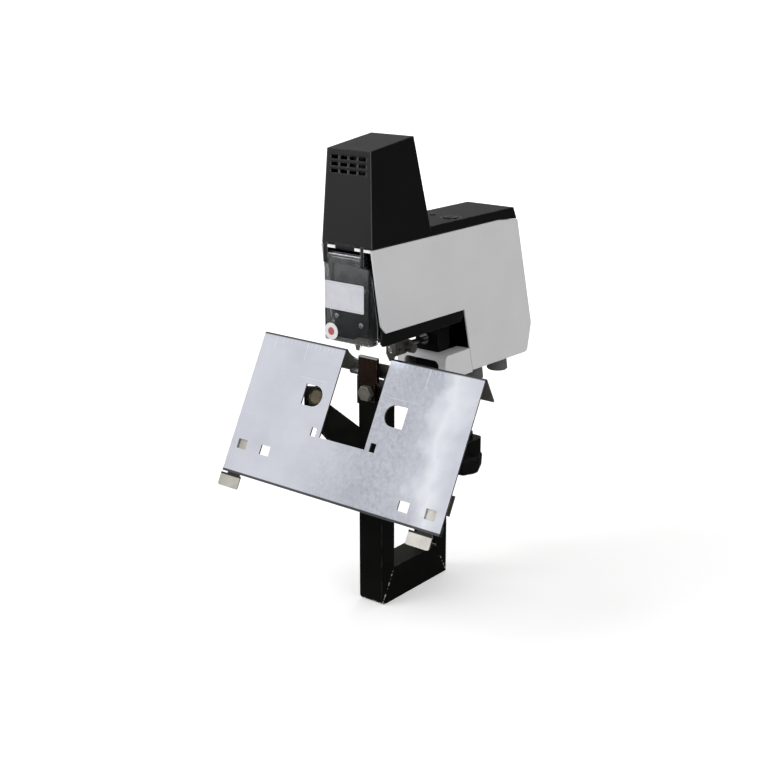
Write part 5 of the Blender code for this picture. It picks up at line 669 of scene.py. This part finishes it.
SHADE_FROM, SHADE_TO, EAR_FROM = 0.1300, 0.1408, 0.1250
for name, light, dark in (("left_stop", tone(194, 191, 182), tone(176, 173, 163)),
                          ("right_stop", tone(228, 225, 220), tone(206, 202, 194))):
    stop_nickel = sheet_steel(name + "_nickel", light, dark, roughness=0.42, stretch=(500.0, 500.0, 12.0),
                              metallic=0.75, patch=0.01)
    tree, shader = opened(stop_nickel)
    from_ridge = apart(tree, own_place(tree), RIDGE)
    under_lip = within(tree, along(tree, from_ridge, slope), SHADE_FROM, SHADE_TO, 0.0002)
    facing = parts_of(tree, own_normal(tree))["Y"]
    outer = spread(tree, parts_of(tree, from_ridge)["X"], EAR_FROM, EAR_FROM + 0.0003)
    # Painted shade: a dark strip where the stops pass under the plate's lower edge, and on the right stop's
    # outer ear.
    shaded = largest(tree, times(tree, under_lip, spread(tree, facing, -0.2, -0.5)), outer)
    overlay(tree, shader, shaded, tone(52, 50, 48))
    dress(stop_nickel, name)


# Support arm: bent from black painted plate and bolted beside the column. The table leans on
# its blackened dome nut, right behind the left D hole; the one made here stands for the CAD's
# plainer one.

dress(powder_coat("arm_paint", tone(30, 30, 28), tone(17, 17, 16), roughness=0.34, shine=0.25,
                  bare=tone(130, 126, 118), wear=0.6), "support_arm")


def pick(made, kind, wanted):
    """In edit mode, select the faces or edges whose middle is wanted."""
    mesh = bmesh.from_edit_mesh(made.data)
    bpy.ops.mesh.select_mode(type=kind)
    bpy.ops.mesh.select_all(action="DESELECT")
    for part in (mesh.faces if kind == "FACE" else mesh.edges):
        if kind == "FACE":
            middle = part.calc_center_median()
        else:
            middle = (part.verts[0].co + part.verts[1].co) / 2
        part.select_set(bool(wanted(middle, part)))
    bmesh.update_edit_mesh(made.data)


NUT_RADIUS, NUT_HEIGHT = 0.0122, 0.004
DOME_RADIUS, DOME_BASE = 0.0100, 0.003
DOME_RISE, DOME_SINK = 0.60, 0.2
HOLE_X, HOLE_DOWN, NUT_BEHIND = -47.2, 0.0500, 0.0112
nut = begin(bpy.ops.mesh.primitive_cylinder_add, "arm_dome_nut_dressed", vertices=6,
            radius=NUT_RADIUS, depth=NUT_HEIGHT, location=(0, 0, NUT_HEIGHT / 2))
bpy.ops.object.transform_apply(location=True)
editing(True)
pick(nut, "EDGE", lambda middle, part: abs(part.verts[0].co.z - part.verts[1].co.z) < 0.001)
bpy.ops.mesh.bevel(offset=0.0006, segments=2, affect="EDGES")
bpy.ops.mesh.select_all(action="DESELECT")
bpy.ops.mesh.primitive_uv_sphere_add(segments=40, ring_count=20, radius=DOME_RADIUS,
                                     location=(0, 0, DOME_BASE))
mesh = bmesh.from_edit_mesh(nut.data)
for point in mesh.verts:
    if point.select:
        rise = point.co.z - DOME_BASE
        point.co.z = DOME_BASE + rise * (DOME_RISE if rise > 0 else DOME_SINK)
bmesh.update_edit_mesh(nut.data)
editing(False)
inwards = Vector((0, -slope.z, slope.y))
hole_middle = spot(HOLE_X, 0, 1.2) + slope * HOLE_DOWN
nut.matrix_world = Matrix.Translation(hole_middle + inwards * NUT_BEHIND) @ turned_to(-inwards)
settle(nut, 35)
nut.data.materials.append(dark_steel("dome_nut_steel", tone(112, 105, 86), tone(78, 72, 58),
                                     roughness=0.26, stretch=(300.0, 300.0, 300.0)))
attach(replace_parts(nut, "arm_dome_nut"), "frame")


# Chassis: two painted steel plates joined by turned cross bolts, with the solenoid's bare steel
# seat on top. Most of it is hidden by the casing.

dress(powder_coat("chassis_paint", tone(22, 22, 22), tone(14, 14, 14), roughness=0.44, shine=0.25,
                  bare=tone(120, 118, 112), wear=0.6), "chassis_left", "chassis_right", "base_plate")
for name, y, z in (("column_bolt_upper", 93.5, 84), ("column_bolt_lower", 93.5, 66),
                   ("spring_hanger", 68, 90)):
    dress(lathe_steel(name + "_steel", tone(170, 170, 168), spot(0, y, z), (1, 0, 0)), name)
ALONG_X = (12.0, 700.0, 700.0)
dress(dark_steel("seat_steel", tone(120, 120, 122), tone(92, 92, 94), 0.4, ALONG_X), "top_plate")


# Swinging head: blackened steel arms and bridge on a turned pivot pin, a painted block that the
# driver slides in, a moulded front plate, the nose, and the bright magazine with its staples.

ALONG_Y = (700.0, 12.0, 700.0)
dress(dark_steel("arm_steel", tone(96, 92, 86), tone(64, 61, 56), 0.36, ALONG_Y),
      "head_arm_left", "head_arm_right", "head_bridge")
dress(lathe_steel("pivot_steel", tone(176, 176, 174), spot(0, 150, 16), (1, 0, 0)), "pivot_pin")
dress(powder_coat("block_paint", tone(34, 34, 34), tone(22, 22, 22), roughness=0.40, shine=0.3,
                  bare=tone(140, 138, 132), wear=0.9), "head_block")
dress(moulded("front_plate_plastic", tone(18, 24, 26), tone(12, 16, 18), roughness=0.40, shine=0.15,
              wear=0.4), "head_front_plate")
dress(dark_steel("nose_steel", tone(140, 132, 120), tone(96, 90, 82), 0.30, ALONG_X), "nose_piece")
dress(sheet_steel("magazine_steel", tone(200, 201, 204), tone(168, 169, 172), roughness=0.26,
                  stretch=(700.0, 10.0, 700.0), patch=0.02), "magazine")


def ridges(tree, value, half_width):
    """0 to 1 and back along a value, as wires or sheets lie side by side."""
    return calc(tree, "DIVIDE", calc(tree, "PINGPONG", value, half_width), half_width)


def grainy(tree, grain, smooth, rough):
    """A roughness that wanders between two values with the skin of the surface grain."""
    return spread(tree, grain["Skin"], 0.3, 0.7, smooth, rough)


STAPLE_WIRE = 0.0007
wire_steel, tree, shader = finish("staple_wire", 1.0)
lengthways = calc(tree, "ADD", parts_of(tree, own_place(tree))["Y"], 0.2)
round_wire = ridges(tree, lengthways, STAPLE_WIRE / 2)
grain = grained(tree, 0.0004, 0.006)
wire = mottle(tree, grain, tone(176, 172, 164), tone(206, 203, 196))
# Painted shade: the wires darken towards the grooves between them.
wire = tint(tree, spread(tree, round_wire, 0.0, 0.35), tone(70, 66, 60), wire)
look(tree, shader, wire, grainy(tree, grain, 0.2, 0.34))
raised(tree, shader, round_wire, 0.6, 0.0001)
dress(wire_steel, "staple_strip")
dress(moulded("pusher_plastic", tone(40, 40, 42), tone(28, 28, 30), roughness=0.5, shine=0.35), "pusher")


# Screws of the head's front plate and of the rear panel: pan heads with a cross recess, rolled
# and zinc plated. One is made and the others are copies of it.

def cut_by(made, tool):
    """Cut an object by a tool object, which is then removed."""
    bpy.ops.object.select_all(action="DESELECT")
    made.select_set(True)
    bpy.context.view_layer.objects.active = made
    cut = made.modifiers.new("cut", "BOOLEAN")
    cut.object = tool
    cut.solver = "EXACT"
    bpy.ops.object.modifier_apply(modifier="cut")
    bpy.data.objects.remove(tool, do_unlink=True)


HEAD_RADIUS, HEAD_HEIGHT = 0.0026, 0.0017
CROSS_LENGTH, CROSS_WIDTH, CROSS_DEPTH = 0.0030, 0.00062, 0.0010
pan_screw = begin(bpy.ops.mesh.primitive_cylinder_add, "pan_screw", vertices=32, radius=HEAD_RADIUS,
                  depth=HEAD_HEIGHT, location=(0, 0, HEAD_HEIGHT / 2))
bpy.ops.object.transform_apply(location=True)
editing(True)
pick(pan_screw, "EDGE", lambda middle, part: middle.z > HEAD_HEIGHT * 0.99 and len(part.link_faces) == 2)
bpy.ops.mesh.bevel(offset=0.0009, segments=4, affect="EDGES")
editing(False)
for length, width in ((CROSS_LENGTH, CROSS_WIDTH), (CROSS_WIDTH, CROSS_LENGTH)):
    blade = begin(bpy.ops.mesh.primitive_cube_add, "recess", size=1, location=(0, 0, HEAD_HEIGHT))
    blade.dimensions = (length, width, CROSS_DEPTH * 2)
    bpy.ops.object.transform_apply(location=True, scale=True)
    cut_by(pan_screw, blade)
screw_steel = lathe_steel("screw_steel", tone(196, 196, 194), (0, 0, 0), (0, 0, 1), 0.28)


def put_screw(name, place, outwards, body, quarter):
    """A copy of the screw that faces outwards, with its cross turned."""
    bpy.ops.object.select_all(action="DESELECT")
    made = bpy.data.objects.new(name, pan_screw.data.copy())
    made.data.name = name
    scene.collection.objects.link(made)
    made.select_set(True)
    bpy.context.view_layer.objects.active = made
    turn = turned_to(outwards, "Y") @ Matrix.Rotation(quarter, 4, "Z")
    made.matrix_world = Matrix.Translation(place) @ turn
    settle(made, 30)
    made.data.materials.append(screw_steel)
    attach(made, body)


for name, x, z, turn in (("upper_left", -15.7, 62, 0.3), ("upper_right", 14.2, 62, 1.1),
                         ("lower_left", -15.7, 36.6, 0.8), ("lower_right", 11.5, 31.5, 0.1)):
    put_screw("front_plate_screw_" + name, spot(x, -23.45, z), (0, -1, 0), "head", turn)


# Driver and solenoid: the crosshead with its pin and the thin driver blade, the coil in its
# steel yoke, the turned plunger above them, and the return spring behind.

dress(dark_steel("crosshead_steel", tone(110, 108, 104), tone(80, 78, 74), 0.3), "crosshead")
dress(lathe_steel("crosshead_pin_steel", tone(184, 184, 182), spot(0, -7, 77), (1, 0, 0)), "crosshead_pin")
dress(sheet_steel("blade_steel", tone(196, 197, 200), tone(170, 172, 176), roughness=0.22,
                  stretch=(700.0, 700.0, 10.0), patch=0.01), "driver_blade")
dress(dark_steel("yoke_steel", tone(92, 91, 88), tone(70, 69, 66), 0.4, ALONG_X), "solenoid_yoke")
dress(dark_steel("plunger_steel", tone(74, 73, 70), tone(52, 51, 49), 0.34), "plunger")

COIL_WIRE, COIL_LOW, COIL_TOP = 0.0009, 105.3, 152.5
coil_winding, tree, shader = finish("coil_winding", 0.55)
height = parts_of(tree, own_place(tree))["Z"]
turns = ridges(tree, height, COIL_WIRE / 2)
# Painted shade and highlight: each turn of wire is dark at its grooves and bright along its crest.
copper_with_painted_shade = tint(tree, turns, tone(96, 44, 18), tone(196, 112, 62))
wound = within(tree, height, level(COIL_LOW), level(COIL_TOP), 0.00008)
flange = calc(tree, "SUBTRACT", 1.0, wound)
coil = tint(tree, flange, copper_with_painted_shade, tone(36, 34, 32))
look(tree, shader, coil, spread(tree, turns, 0.0, 1.0, 0.55, 0.34))
raised(tree, shader, turns, 0.5, 0.0002)
dress(coil_winding, "solenoid_coil")
dress(lathe_steel("spring_steel", tone(172, 172, 170), spot(0, 68, 0), (0, 0, 1), 0.25), "return_spring")


# Control board: green glass laminate on four posts, carrying a laminated transformer, a relay
# and a capacitor in one row.

BOARD_FACE, CORE_SHEET = -0.0172, 0.001
CORE_TOP, RELAY_TOP = 33, 50
board, tree, shader = finish("board_laminate")
grain = grained(tree, 0.0009, 0.004)
places = parts_of(tree, own_place(tree))
tracks = spread(tree, noise(tree, own_place(tree), 420.0, 0.0), 0.48, 0.5)
green = tint(tree, times(tree, tracks, 0.6), tone(14, 70, 34), tone(30, 104, 52))
above = spread(tree, places["X"], BOARD_FACE, BOARD_FACE + 0.0004)
sheets = ridges(tree, places["X"], CORE_SHEET / 2)
laminated = tint(tree, sheets, tone(60, 58, 54), tone(120, 116, 108))
over_core = spread(tree, places["Z"], level(CORE_TOP), level(CORE_TOP + 1))
over_relay = spread(tree, places["Z"], level(RELAY_TOP), level(RELAY_TOP + 1))
parts = tint(tree, over_core, laminated, tone(30, 60, 120))
parts = tint(tree, over_relay, parts, tone(26, 28, 34))
look(tree, shader, tint(tree, above, green, parts), grainy(tree, grain, 0.4, 0.58))
raised(tree, shader, grain["Skin"], 0.1, 0.0001)
dress(board, "control_board")


# Casing: side covers, front strip, lower front cover and rear panel of folded steel, powder
# coated light grey, the strip whiter; the covers' near-white rubbed edges are partly wear and partly
# painted highlight. The top cover with its tower and deck is one black moulding, with a painted
# highlight down the tower's front corners and edges rubbed lighter, partly wear and partly painted sheen.

# The covers' edges are rubbed to near white: partly wear, partly a painted highlight on their lit edges.
cover_paint = powder_coat("cover_paint", tone(222, 222, 223), tone(217, 217, 219), roughness=0.44,
                          shine=0.4, bare=tone(250, 250, 250), wear=0.9, dust=0.10, corner=0.0012)
dress(cover_paint, "side_cover_left", "side_cover_right", "lower_front_cover", "rear_panel")
dress(powder_coat("strip_paint", tone(246, 246, 246), tone(240, 240, 240), roughness=0.4, shine=0.4,
                  bare=tone(255, 255, 255), wear=0.3, dust=0.05), "front_strip")
tower_plastic = moulded("tower_plastic", tone(18, 18, 20), tone(14, 14, 15), roughness=0.44, shine=0.34,
                        size=0.0006, wear=0.9, corner=0.0026)
tree, shader = opened(tower_plastic)
# Painted highlight: a light grey line along the tower's rounded front corners, where they would catch the
# light. The heavy edge wear set above is partly painted sheen too.
turned = rounded(tree, 0.0016)
corner = spread(tree, along(tree, turned, own_normal(tree)), 0.998, 0.95)
upright = within(tree, parts_of(tree, turned)["Z"], -0.2, 0.24, 0.03)
highlight_front_edges = within(tree, parts_of(tree, turned)["Y"], -0.97, -0.35, 0.02)
overlay(tree, shader, times(tree, corner, upright, highlight_front_edges, 0.8), tone(112, 113, 117))
dress(tower_plastic, "top_cover")


# Deck fittings: the force dial with its filled slot and a fan of moulded ticks round it, and a
# small smoked indicator lens in a raised ring.

SLOT_LEFT, SLOT_RIGHT, SLOT_FLOOR, SLOT_TOP = 0.0133, 0.0147, 107.9, 108.3
dial_plastic = moulded("dial_plastic", tone(20, 20, 21), tone(14, 14, 15), roughness=0.3, shine=0.35,
                       wear=0.6)
tree, shader = opened(dial_plastic)
places = parts_of(tree, own_place(tree))
slotted = times(tree, within(tree, places["X"], SLOT_LEFT, SLOT_RIGHT, 0.0001),
                spread(tree, places["Z"], level(SLOT_TOP), level(SLOT_TOP - 0.1)),
                spread(tree, places["Z"], level(SLOT_FLOOR), level(SLOT_FLOOR + 0.1)))
overlay(tree, shader, slotted, tone(226, 226, 222))
dress(dial_plastic, "force_dial")

TICK_SIZE, TICK_RADIUS, TICKS = (0.0005, 0.0022, 0.0002), 0.0093, 9
DIAL_MIDDLE, DIAL_TURN = spot(14, 101, 108.56), 270
tick = begin(bpy.ops.mesh.primitive_cube_add, "dial_tick", size=1)
tick.dimensions = TICK_SIZE
bpy.ops.object.transform_apply(scale=True)
editing(True)
pick(tick, "EDGE", lambda middle, part: middle.z > 0.00009)
bpy.ops.mesh.bevel(offset=0.00006, segments=2, affect="EDGES")
editing(False)
tick_print, tree, shader = finish("tick_print")
grain = grained(tree, 0.0003, 0.002)
printed = tint(tree, grain["Patches"], tone(150, 150, 150), tone(176, 176, 176))
look(tree, shader, printed, grainy(tree, grain, 0.5, 0.65))
for index in range(TICKS):
    angle = radians(index * DIAL_TURN / (TICKS - 1) - DIAL_TURN / 2)
    made = bpy.data.objects.new(f"dial_tick_{index + 1}", tick.data.copy())
    made.data.transform(Matrix.Translation(DIAL_MIDDLE) @ Matrix.Rotation(angle, 4, "Z")
                        @ Matrix.Translation((0, TICK_RADIUS, 0)))
    made.data.name = made.name
    scene.collection.objects.link(made)
    made.data.materials.append(tick_print)
    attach(made, "frame")
bpy.data.objects.remove(tick, do_unlink=True)

LENS_RADIUS, LENS_DEPTH, LENS_MIDDLE = 0.0030, 0.0008, spot(-9, 104, 108.9)
lens = begin(bpy.ops.mesh.primitive_cylinder_add, "indicator_lens", vertices=36, radius=LENS_RADIUS,
             depth=LENS_DEPTH, location=LENS_MIDDLE)
bpy.ops.object.transform_apply(location=True)
top = level(109.29)
editing(True)
pick(lens, "FACE", lambda middle, part: part.normal.z > 0.9 and middle.z > top)
for thickness, depth in ((0.0008, 0), (0.0001, -0.0005), (0.0006, 0.00045), (0.0006, 0.00025)):
    bpy.ops.mesh.inset(thickness=thickness, depth=depth)
editing(False)
settle(lens, 40)
lens_plastic, tree, shader = finish("lens_plastic", shine=0.6)
grain = grained(tree, 0.0006, 0.003)
smoked = tint(tree, grain["Patches"], tone(18, 12, 12), tone(34, 18, 17))
look(tree, shader, smoked, grainy(tree, grain, 0.12, 0.2))
lens.data.materials.append(lens_plastic)
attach(lens, "frame")


# Feet: four turned rubber buffers, matt and a little dusty. They sit under the base plate, so
# that the casing stands softly on the desk.

rubber, tree, shader = finish("foot_rubber", shine=0.3)
grain = grained(tree, 0.0005, 0.006)
dusty = shared(tree, settled_dust, {"Amount": 0.3})[0]
black = mottle(tree, grain, tone(86, 85, 85), tone(102, 100, 100))
look(tree, shader, tint(tree, dusty, black, tone(150, 146, 140)), grainy(tree, grain, 0.7, 0.9))
raised(tree, shader, grain["Skin"], 0.35, 0.0001)
dress(rubber, "foot_front_left", "foot_rear_left", "foot_front_right", "foot_rear_right")


# Back of the casing: the mains inlet with brass pins and the rocker switch, both snapped into the
# rear panel, which four screws hold to the chassis.

PANEL_TOP, PANEL_FOOT = (0, 189.4, 94.9), (0, 218.8, -11.1)
PIN_HALF, PIN_SPACING = 0.0012, 0.007
PIN_LOW, PIN_TOP, PIN_FRONT, PIN_BACK = 8.6, 21.8, 198.5, 213.2
SCREW_SIDE, SCREW_UPPER, SCREW_LOWER, SCREW_OUT = 0.021, 0.010, 0.100, 0.00105
panel_down = (spot(*PANEL_FOOT) - spot(*PANEL_TOP)).normalized()
panel_out = Vector((0, -panel_down.z, panel_down.y))
inlet_plastic = moulded("inlet_plastic", tone(24, 24, 25), tone(17, 17, 18), roughness=0.45, shine=0.3,
                        wear=0.4)
tree, shader = opened(inlet_plastic)
places = parts_of(tree, own_place(tree))
across = calc(tree, "ABSOLUTE", places["X"])
from_side_pin = calc(tree, "ABSOLUTE", calc(tree, "SUBTRACT", across, PIN_SPACING))
columns = [spread(tree, off, PIN_HALF + 0.00005, PIN_HALF - 0.00005) for off in (from_side_pin, across)]
pins = times(tree, largest(tree, *columns),
             within(tree, places["Z"], level(PIN_LOW), level(PIN_TOP), 0.0002),
             within(tree, places["Y"], spot(0, PIN_FRONT, 0).y, spot(0, PIN_BACK, 0).y, 0.0002))
overlay(tree, shader, pins, tone(198, 172, 112))
join(tree, pins, shader.inputs["Metallic"])
dress(inlet_plastic, "mains_inlet")
dress(moulded("rocker_plastic", tone(22, 22, 23), tone(15, 15, 16), roughness=0.28, shine=0.45,
              wear=0.4), "rocker")
for name, x, down, turn in (("upper_left", -SCREW_SIDE, SCREW_UPPER, 0.4),
                            ("upper_right", SCREW_SIDE, SCREW_UPPER, 1.2),
                            ("lower_left", -SCREW_SIDE, SCREW_LOWER, 0.9),
                            ("lower_right", SCREW_SIDE, SCREW_LOWER, 0.2)):
    place = spot(*PANEL_TOP) + Vector((x, 0, 0)) + panel_down * down + panel_out * SCREW_OUT
    put_screw("rear_panel_screw_" + name, place, panel_out, "frame", turn)
bpy.data.objects.remove(pan_screw, do_unlink=True)


# Guard: clear acrylic bent to a channel and hung on a steel pin between the tower's lugs. Its
# faces are wiped and cloudy near the top, its edges sawn and matt. A blank paper label and a
# plain round sticker are on its front.

CLOUD_FROM, CLOUD_FULL, SAWN_BEHIND = 62, 76, -21.5
clear, tree, shader = finish("guard_acrylic")
grain = grained(tree, 0.0010, 0.02)
wiped = shared(tree, brushed, {"Stretch": (500.0, 500.0, 22.0)})
shader.inputs["Transmission Weight"].default_value = 1.0
shader.inputs["IOR"].default_value = 1.49
shader.inputs["Specular IOR Level"].default_value = 0.1
shader.inputs["Coat Roughness"].default_value = 0.12
places = parts_of(tree, own_place(tree))
high = spread(tree, places["Z"], level(CLOUD_FROM), level(CLOUD_FULL))
cloudy = spread(tree, noise(tree, own_place(tree), 85.0, 3.0, 0.6), 0.40, 0.62)
join(tree, times(tree, high, cloudy, 0.8), shader.inputs["Coat Weight"])
facing = parts_of(tree, own_normal(tree))
behind = spread(tree, places["Y"], spot(0, SAWN_BEHIND, 0).y, spot(0, SAWN_BEHIND + 0.5, 0).y)
sawn = largest(tree, times(tree, behind, spread(tree, facing["Y"], 0.8, 0.9)),
               spread(tree, calc(tree, "ABSOLUTE", facing["Z"]), 0.8, 0.9))
sheet = mottle(tree, grain, tone(228, 233, 236), tone(242, 245, 246))
sheet = tint(tree, sawn, sheet, tone(96, 100, 104))
smeared = spread(tree, grain["Patches"], 0.4, 0.7, 0.04, 0.14)
smeared = calc(tree, "ADD", smeared, times(tree, wiped["Scratches"], 0.2))
look(tree, shader, sheet, largest(tree, smeared, times(tree, sawn, 0.55)))
raised(tree, shader, grain["Patches"], 0.08, 0.0004)
through = add(tree, "BsdfTransparent", {"Color": (0.93, 0.95, 0.96, 1)})
rays = add(tree, "LightPath").outputs
passing = add(tree, "MixShader", {0: rays["Is Shadow Ray"], 1: shader.outputs[0], 2: through.outputs[0]})
join(tree, passing.outputs[0], tree.nodes["Material Output"].inputs["Surface"])
dress(clear, "guard")
dress(lathe_steel("guard_pin_steel", tone(112, 112, 116), spot(0, -28.3, 91.5), (1, 0, 0)), "guard_pin")

LABEL_MIDDLE, LABEL_WIDE, LABEL_HIGH = spot(-2.3, -31.02, 56.15), 0.0434, 0.0247
LAYER = 0.00014
label = begin(bpy.ops.mesh.primitive_plane_add, "guard_label", size=1, location=LABEL_MIDDLE,
              rotation=(pi / 2, 0, 0))
label.scale = (LABEL_WIDE, LABEL_HIGH, 1)
bpy.ops.object.transform_apply(location=True, rotation=True, scale=True)
editing(True)
bpy.ops.mesh.select_all(action="SELECT")
bpy.ops.mesh.bevel(offset=0.0012, segments=5, affect="VERTICES")
bpy.ops.mesh.select_all(action="SELECT")
bpy.ops.mesh.extrude_region_move(TRANSFORM_OT_translate={"value": (0, -LAYER, 0)})
editing(False)
settle(label)
label_paper, tree, shader = finish("label_paper", shine=0.4)
grain = grained(tree, 0.0006, 0.012)
places = parts_of(tree, own_place(tree))
off_x = calc(tree, "ABSOLUTE", calc(tree, "SUBTRACT", places["X"], LABEL_MIDDLE.x))
off_z = calc(tree, "ABSOLUTE", calc(tree, "SUBTRACT", places["Z"], LABEL_MIDDLE.z))


def further_in(inset):
    """1 on the part of the label that is at least this far from its edges."""
    in_x = spread(tree, off_x, LABEL_WIDE / 2 - inset + 0.0001, LABEL_WIDE / 2 - inset)
    in_z = spread(tree, off_z, LABEL_HIGH / 2 - inset + 0.0001, LABEL_HIGH / 2 - inset)
    return times(tree, in_x, in_z)


border = times(tree, calc(tree, "SUBTRACT", further_in(0.0015), further_in(0.0019)), 0.5)
white = mottle(tree, grain, tone(200, 199, 208), tone(210, 210, 217))
look(tree, shader, tint(tree, border, white, tone(176, 164, 168)), grainy(tree, grain, 0.42, 0.55))
raised(tree, shader, grain["Skin"], 0.05, 0.00005)
label.data.materials.append(label_paper)
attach(label, "guard_body")

DISC_MIDDLE, DISC_RADIUS, DOT_RADIUS = spot(-17.4, -31.09, 23.6), 0.0075, 0.0035
disc = begin(bpy.ops.mesh.primitive_cylinder_add, "guard_disc", vertices=64, radius=DISC_RADIUS,
             depth=LAYER, location=DISC_MIDDLE, rotation=(pi / 2, 0, 0))
bpy.ops.object.transform_apply(location=True, rotation=True)
editing(True)
pick(disc, "FACE", lambda middle, part: part.normal.y < -0.9)
bpy.ops.mesh.inset(thickness=0.0009, depth=-0.00003)
bpy.ops.mesh.inset(thickness=0.0014, depth=0.00003)
editing(False)
settle(disc)
disc_vinyl, tree, shader = finish("disc_vinyl", shine=0.4)
grain = grained(tree, 0.0006, 0.006)
radius = length_of(tree, apart(tree, own_place(tree), DISC_MIDDLE))
dot = spread(tree, radius, DOT_RADIUS + 0.0001, DOT_RADIUS - 0.0001)
white = mottle(tree, grain, tone(222, 216, 218), tone(232, 228, 230))
look(tree, shader, tint(tree, dot, white, tone(176, 92, 94)), grainy(tree, grain, 0.38, 0.5))
disc.data.materials.append(disc_vinyl)
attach(disc, "guard_body")


# Back gauge in the throat: a folded nickelled finger on a ground steel rod, with its guide block
# and turned set screw.

dress(sheet_steel("finger_nickel", tone(136, 132, 125), tone(100, 96, 88), roughness=0.38,
                  stretch=(500.0, 500.0, 14.0), metallic=0.8, patch=0.008), "back_gauge")
dress(dark_steel("gauge_block_steel", tone(150, 148, 144), tone(118, 116, 112), 0.32, ALONG_Y),
      "gauge_block")
dress(lathe_steel("gauge_rod_steel", tone(190, 190, 188), spot(-1, 0, -4), (0, 1, 0), 0.2), "gauge_rod")
dress(lathe_steel("gauge_screw_steel", tone(180, 180, 178), spot(0, 48.7, -4), (1, 0, 0), 0.3),
      "gauge_screw")
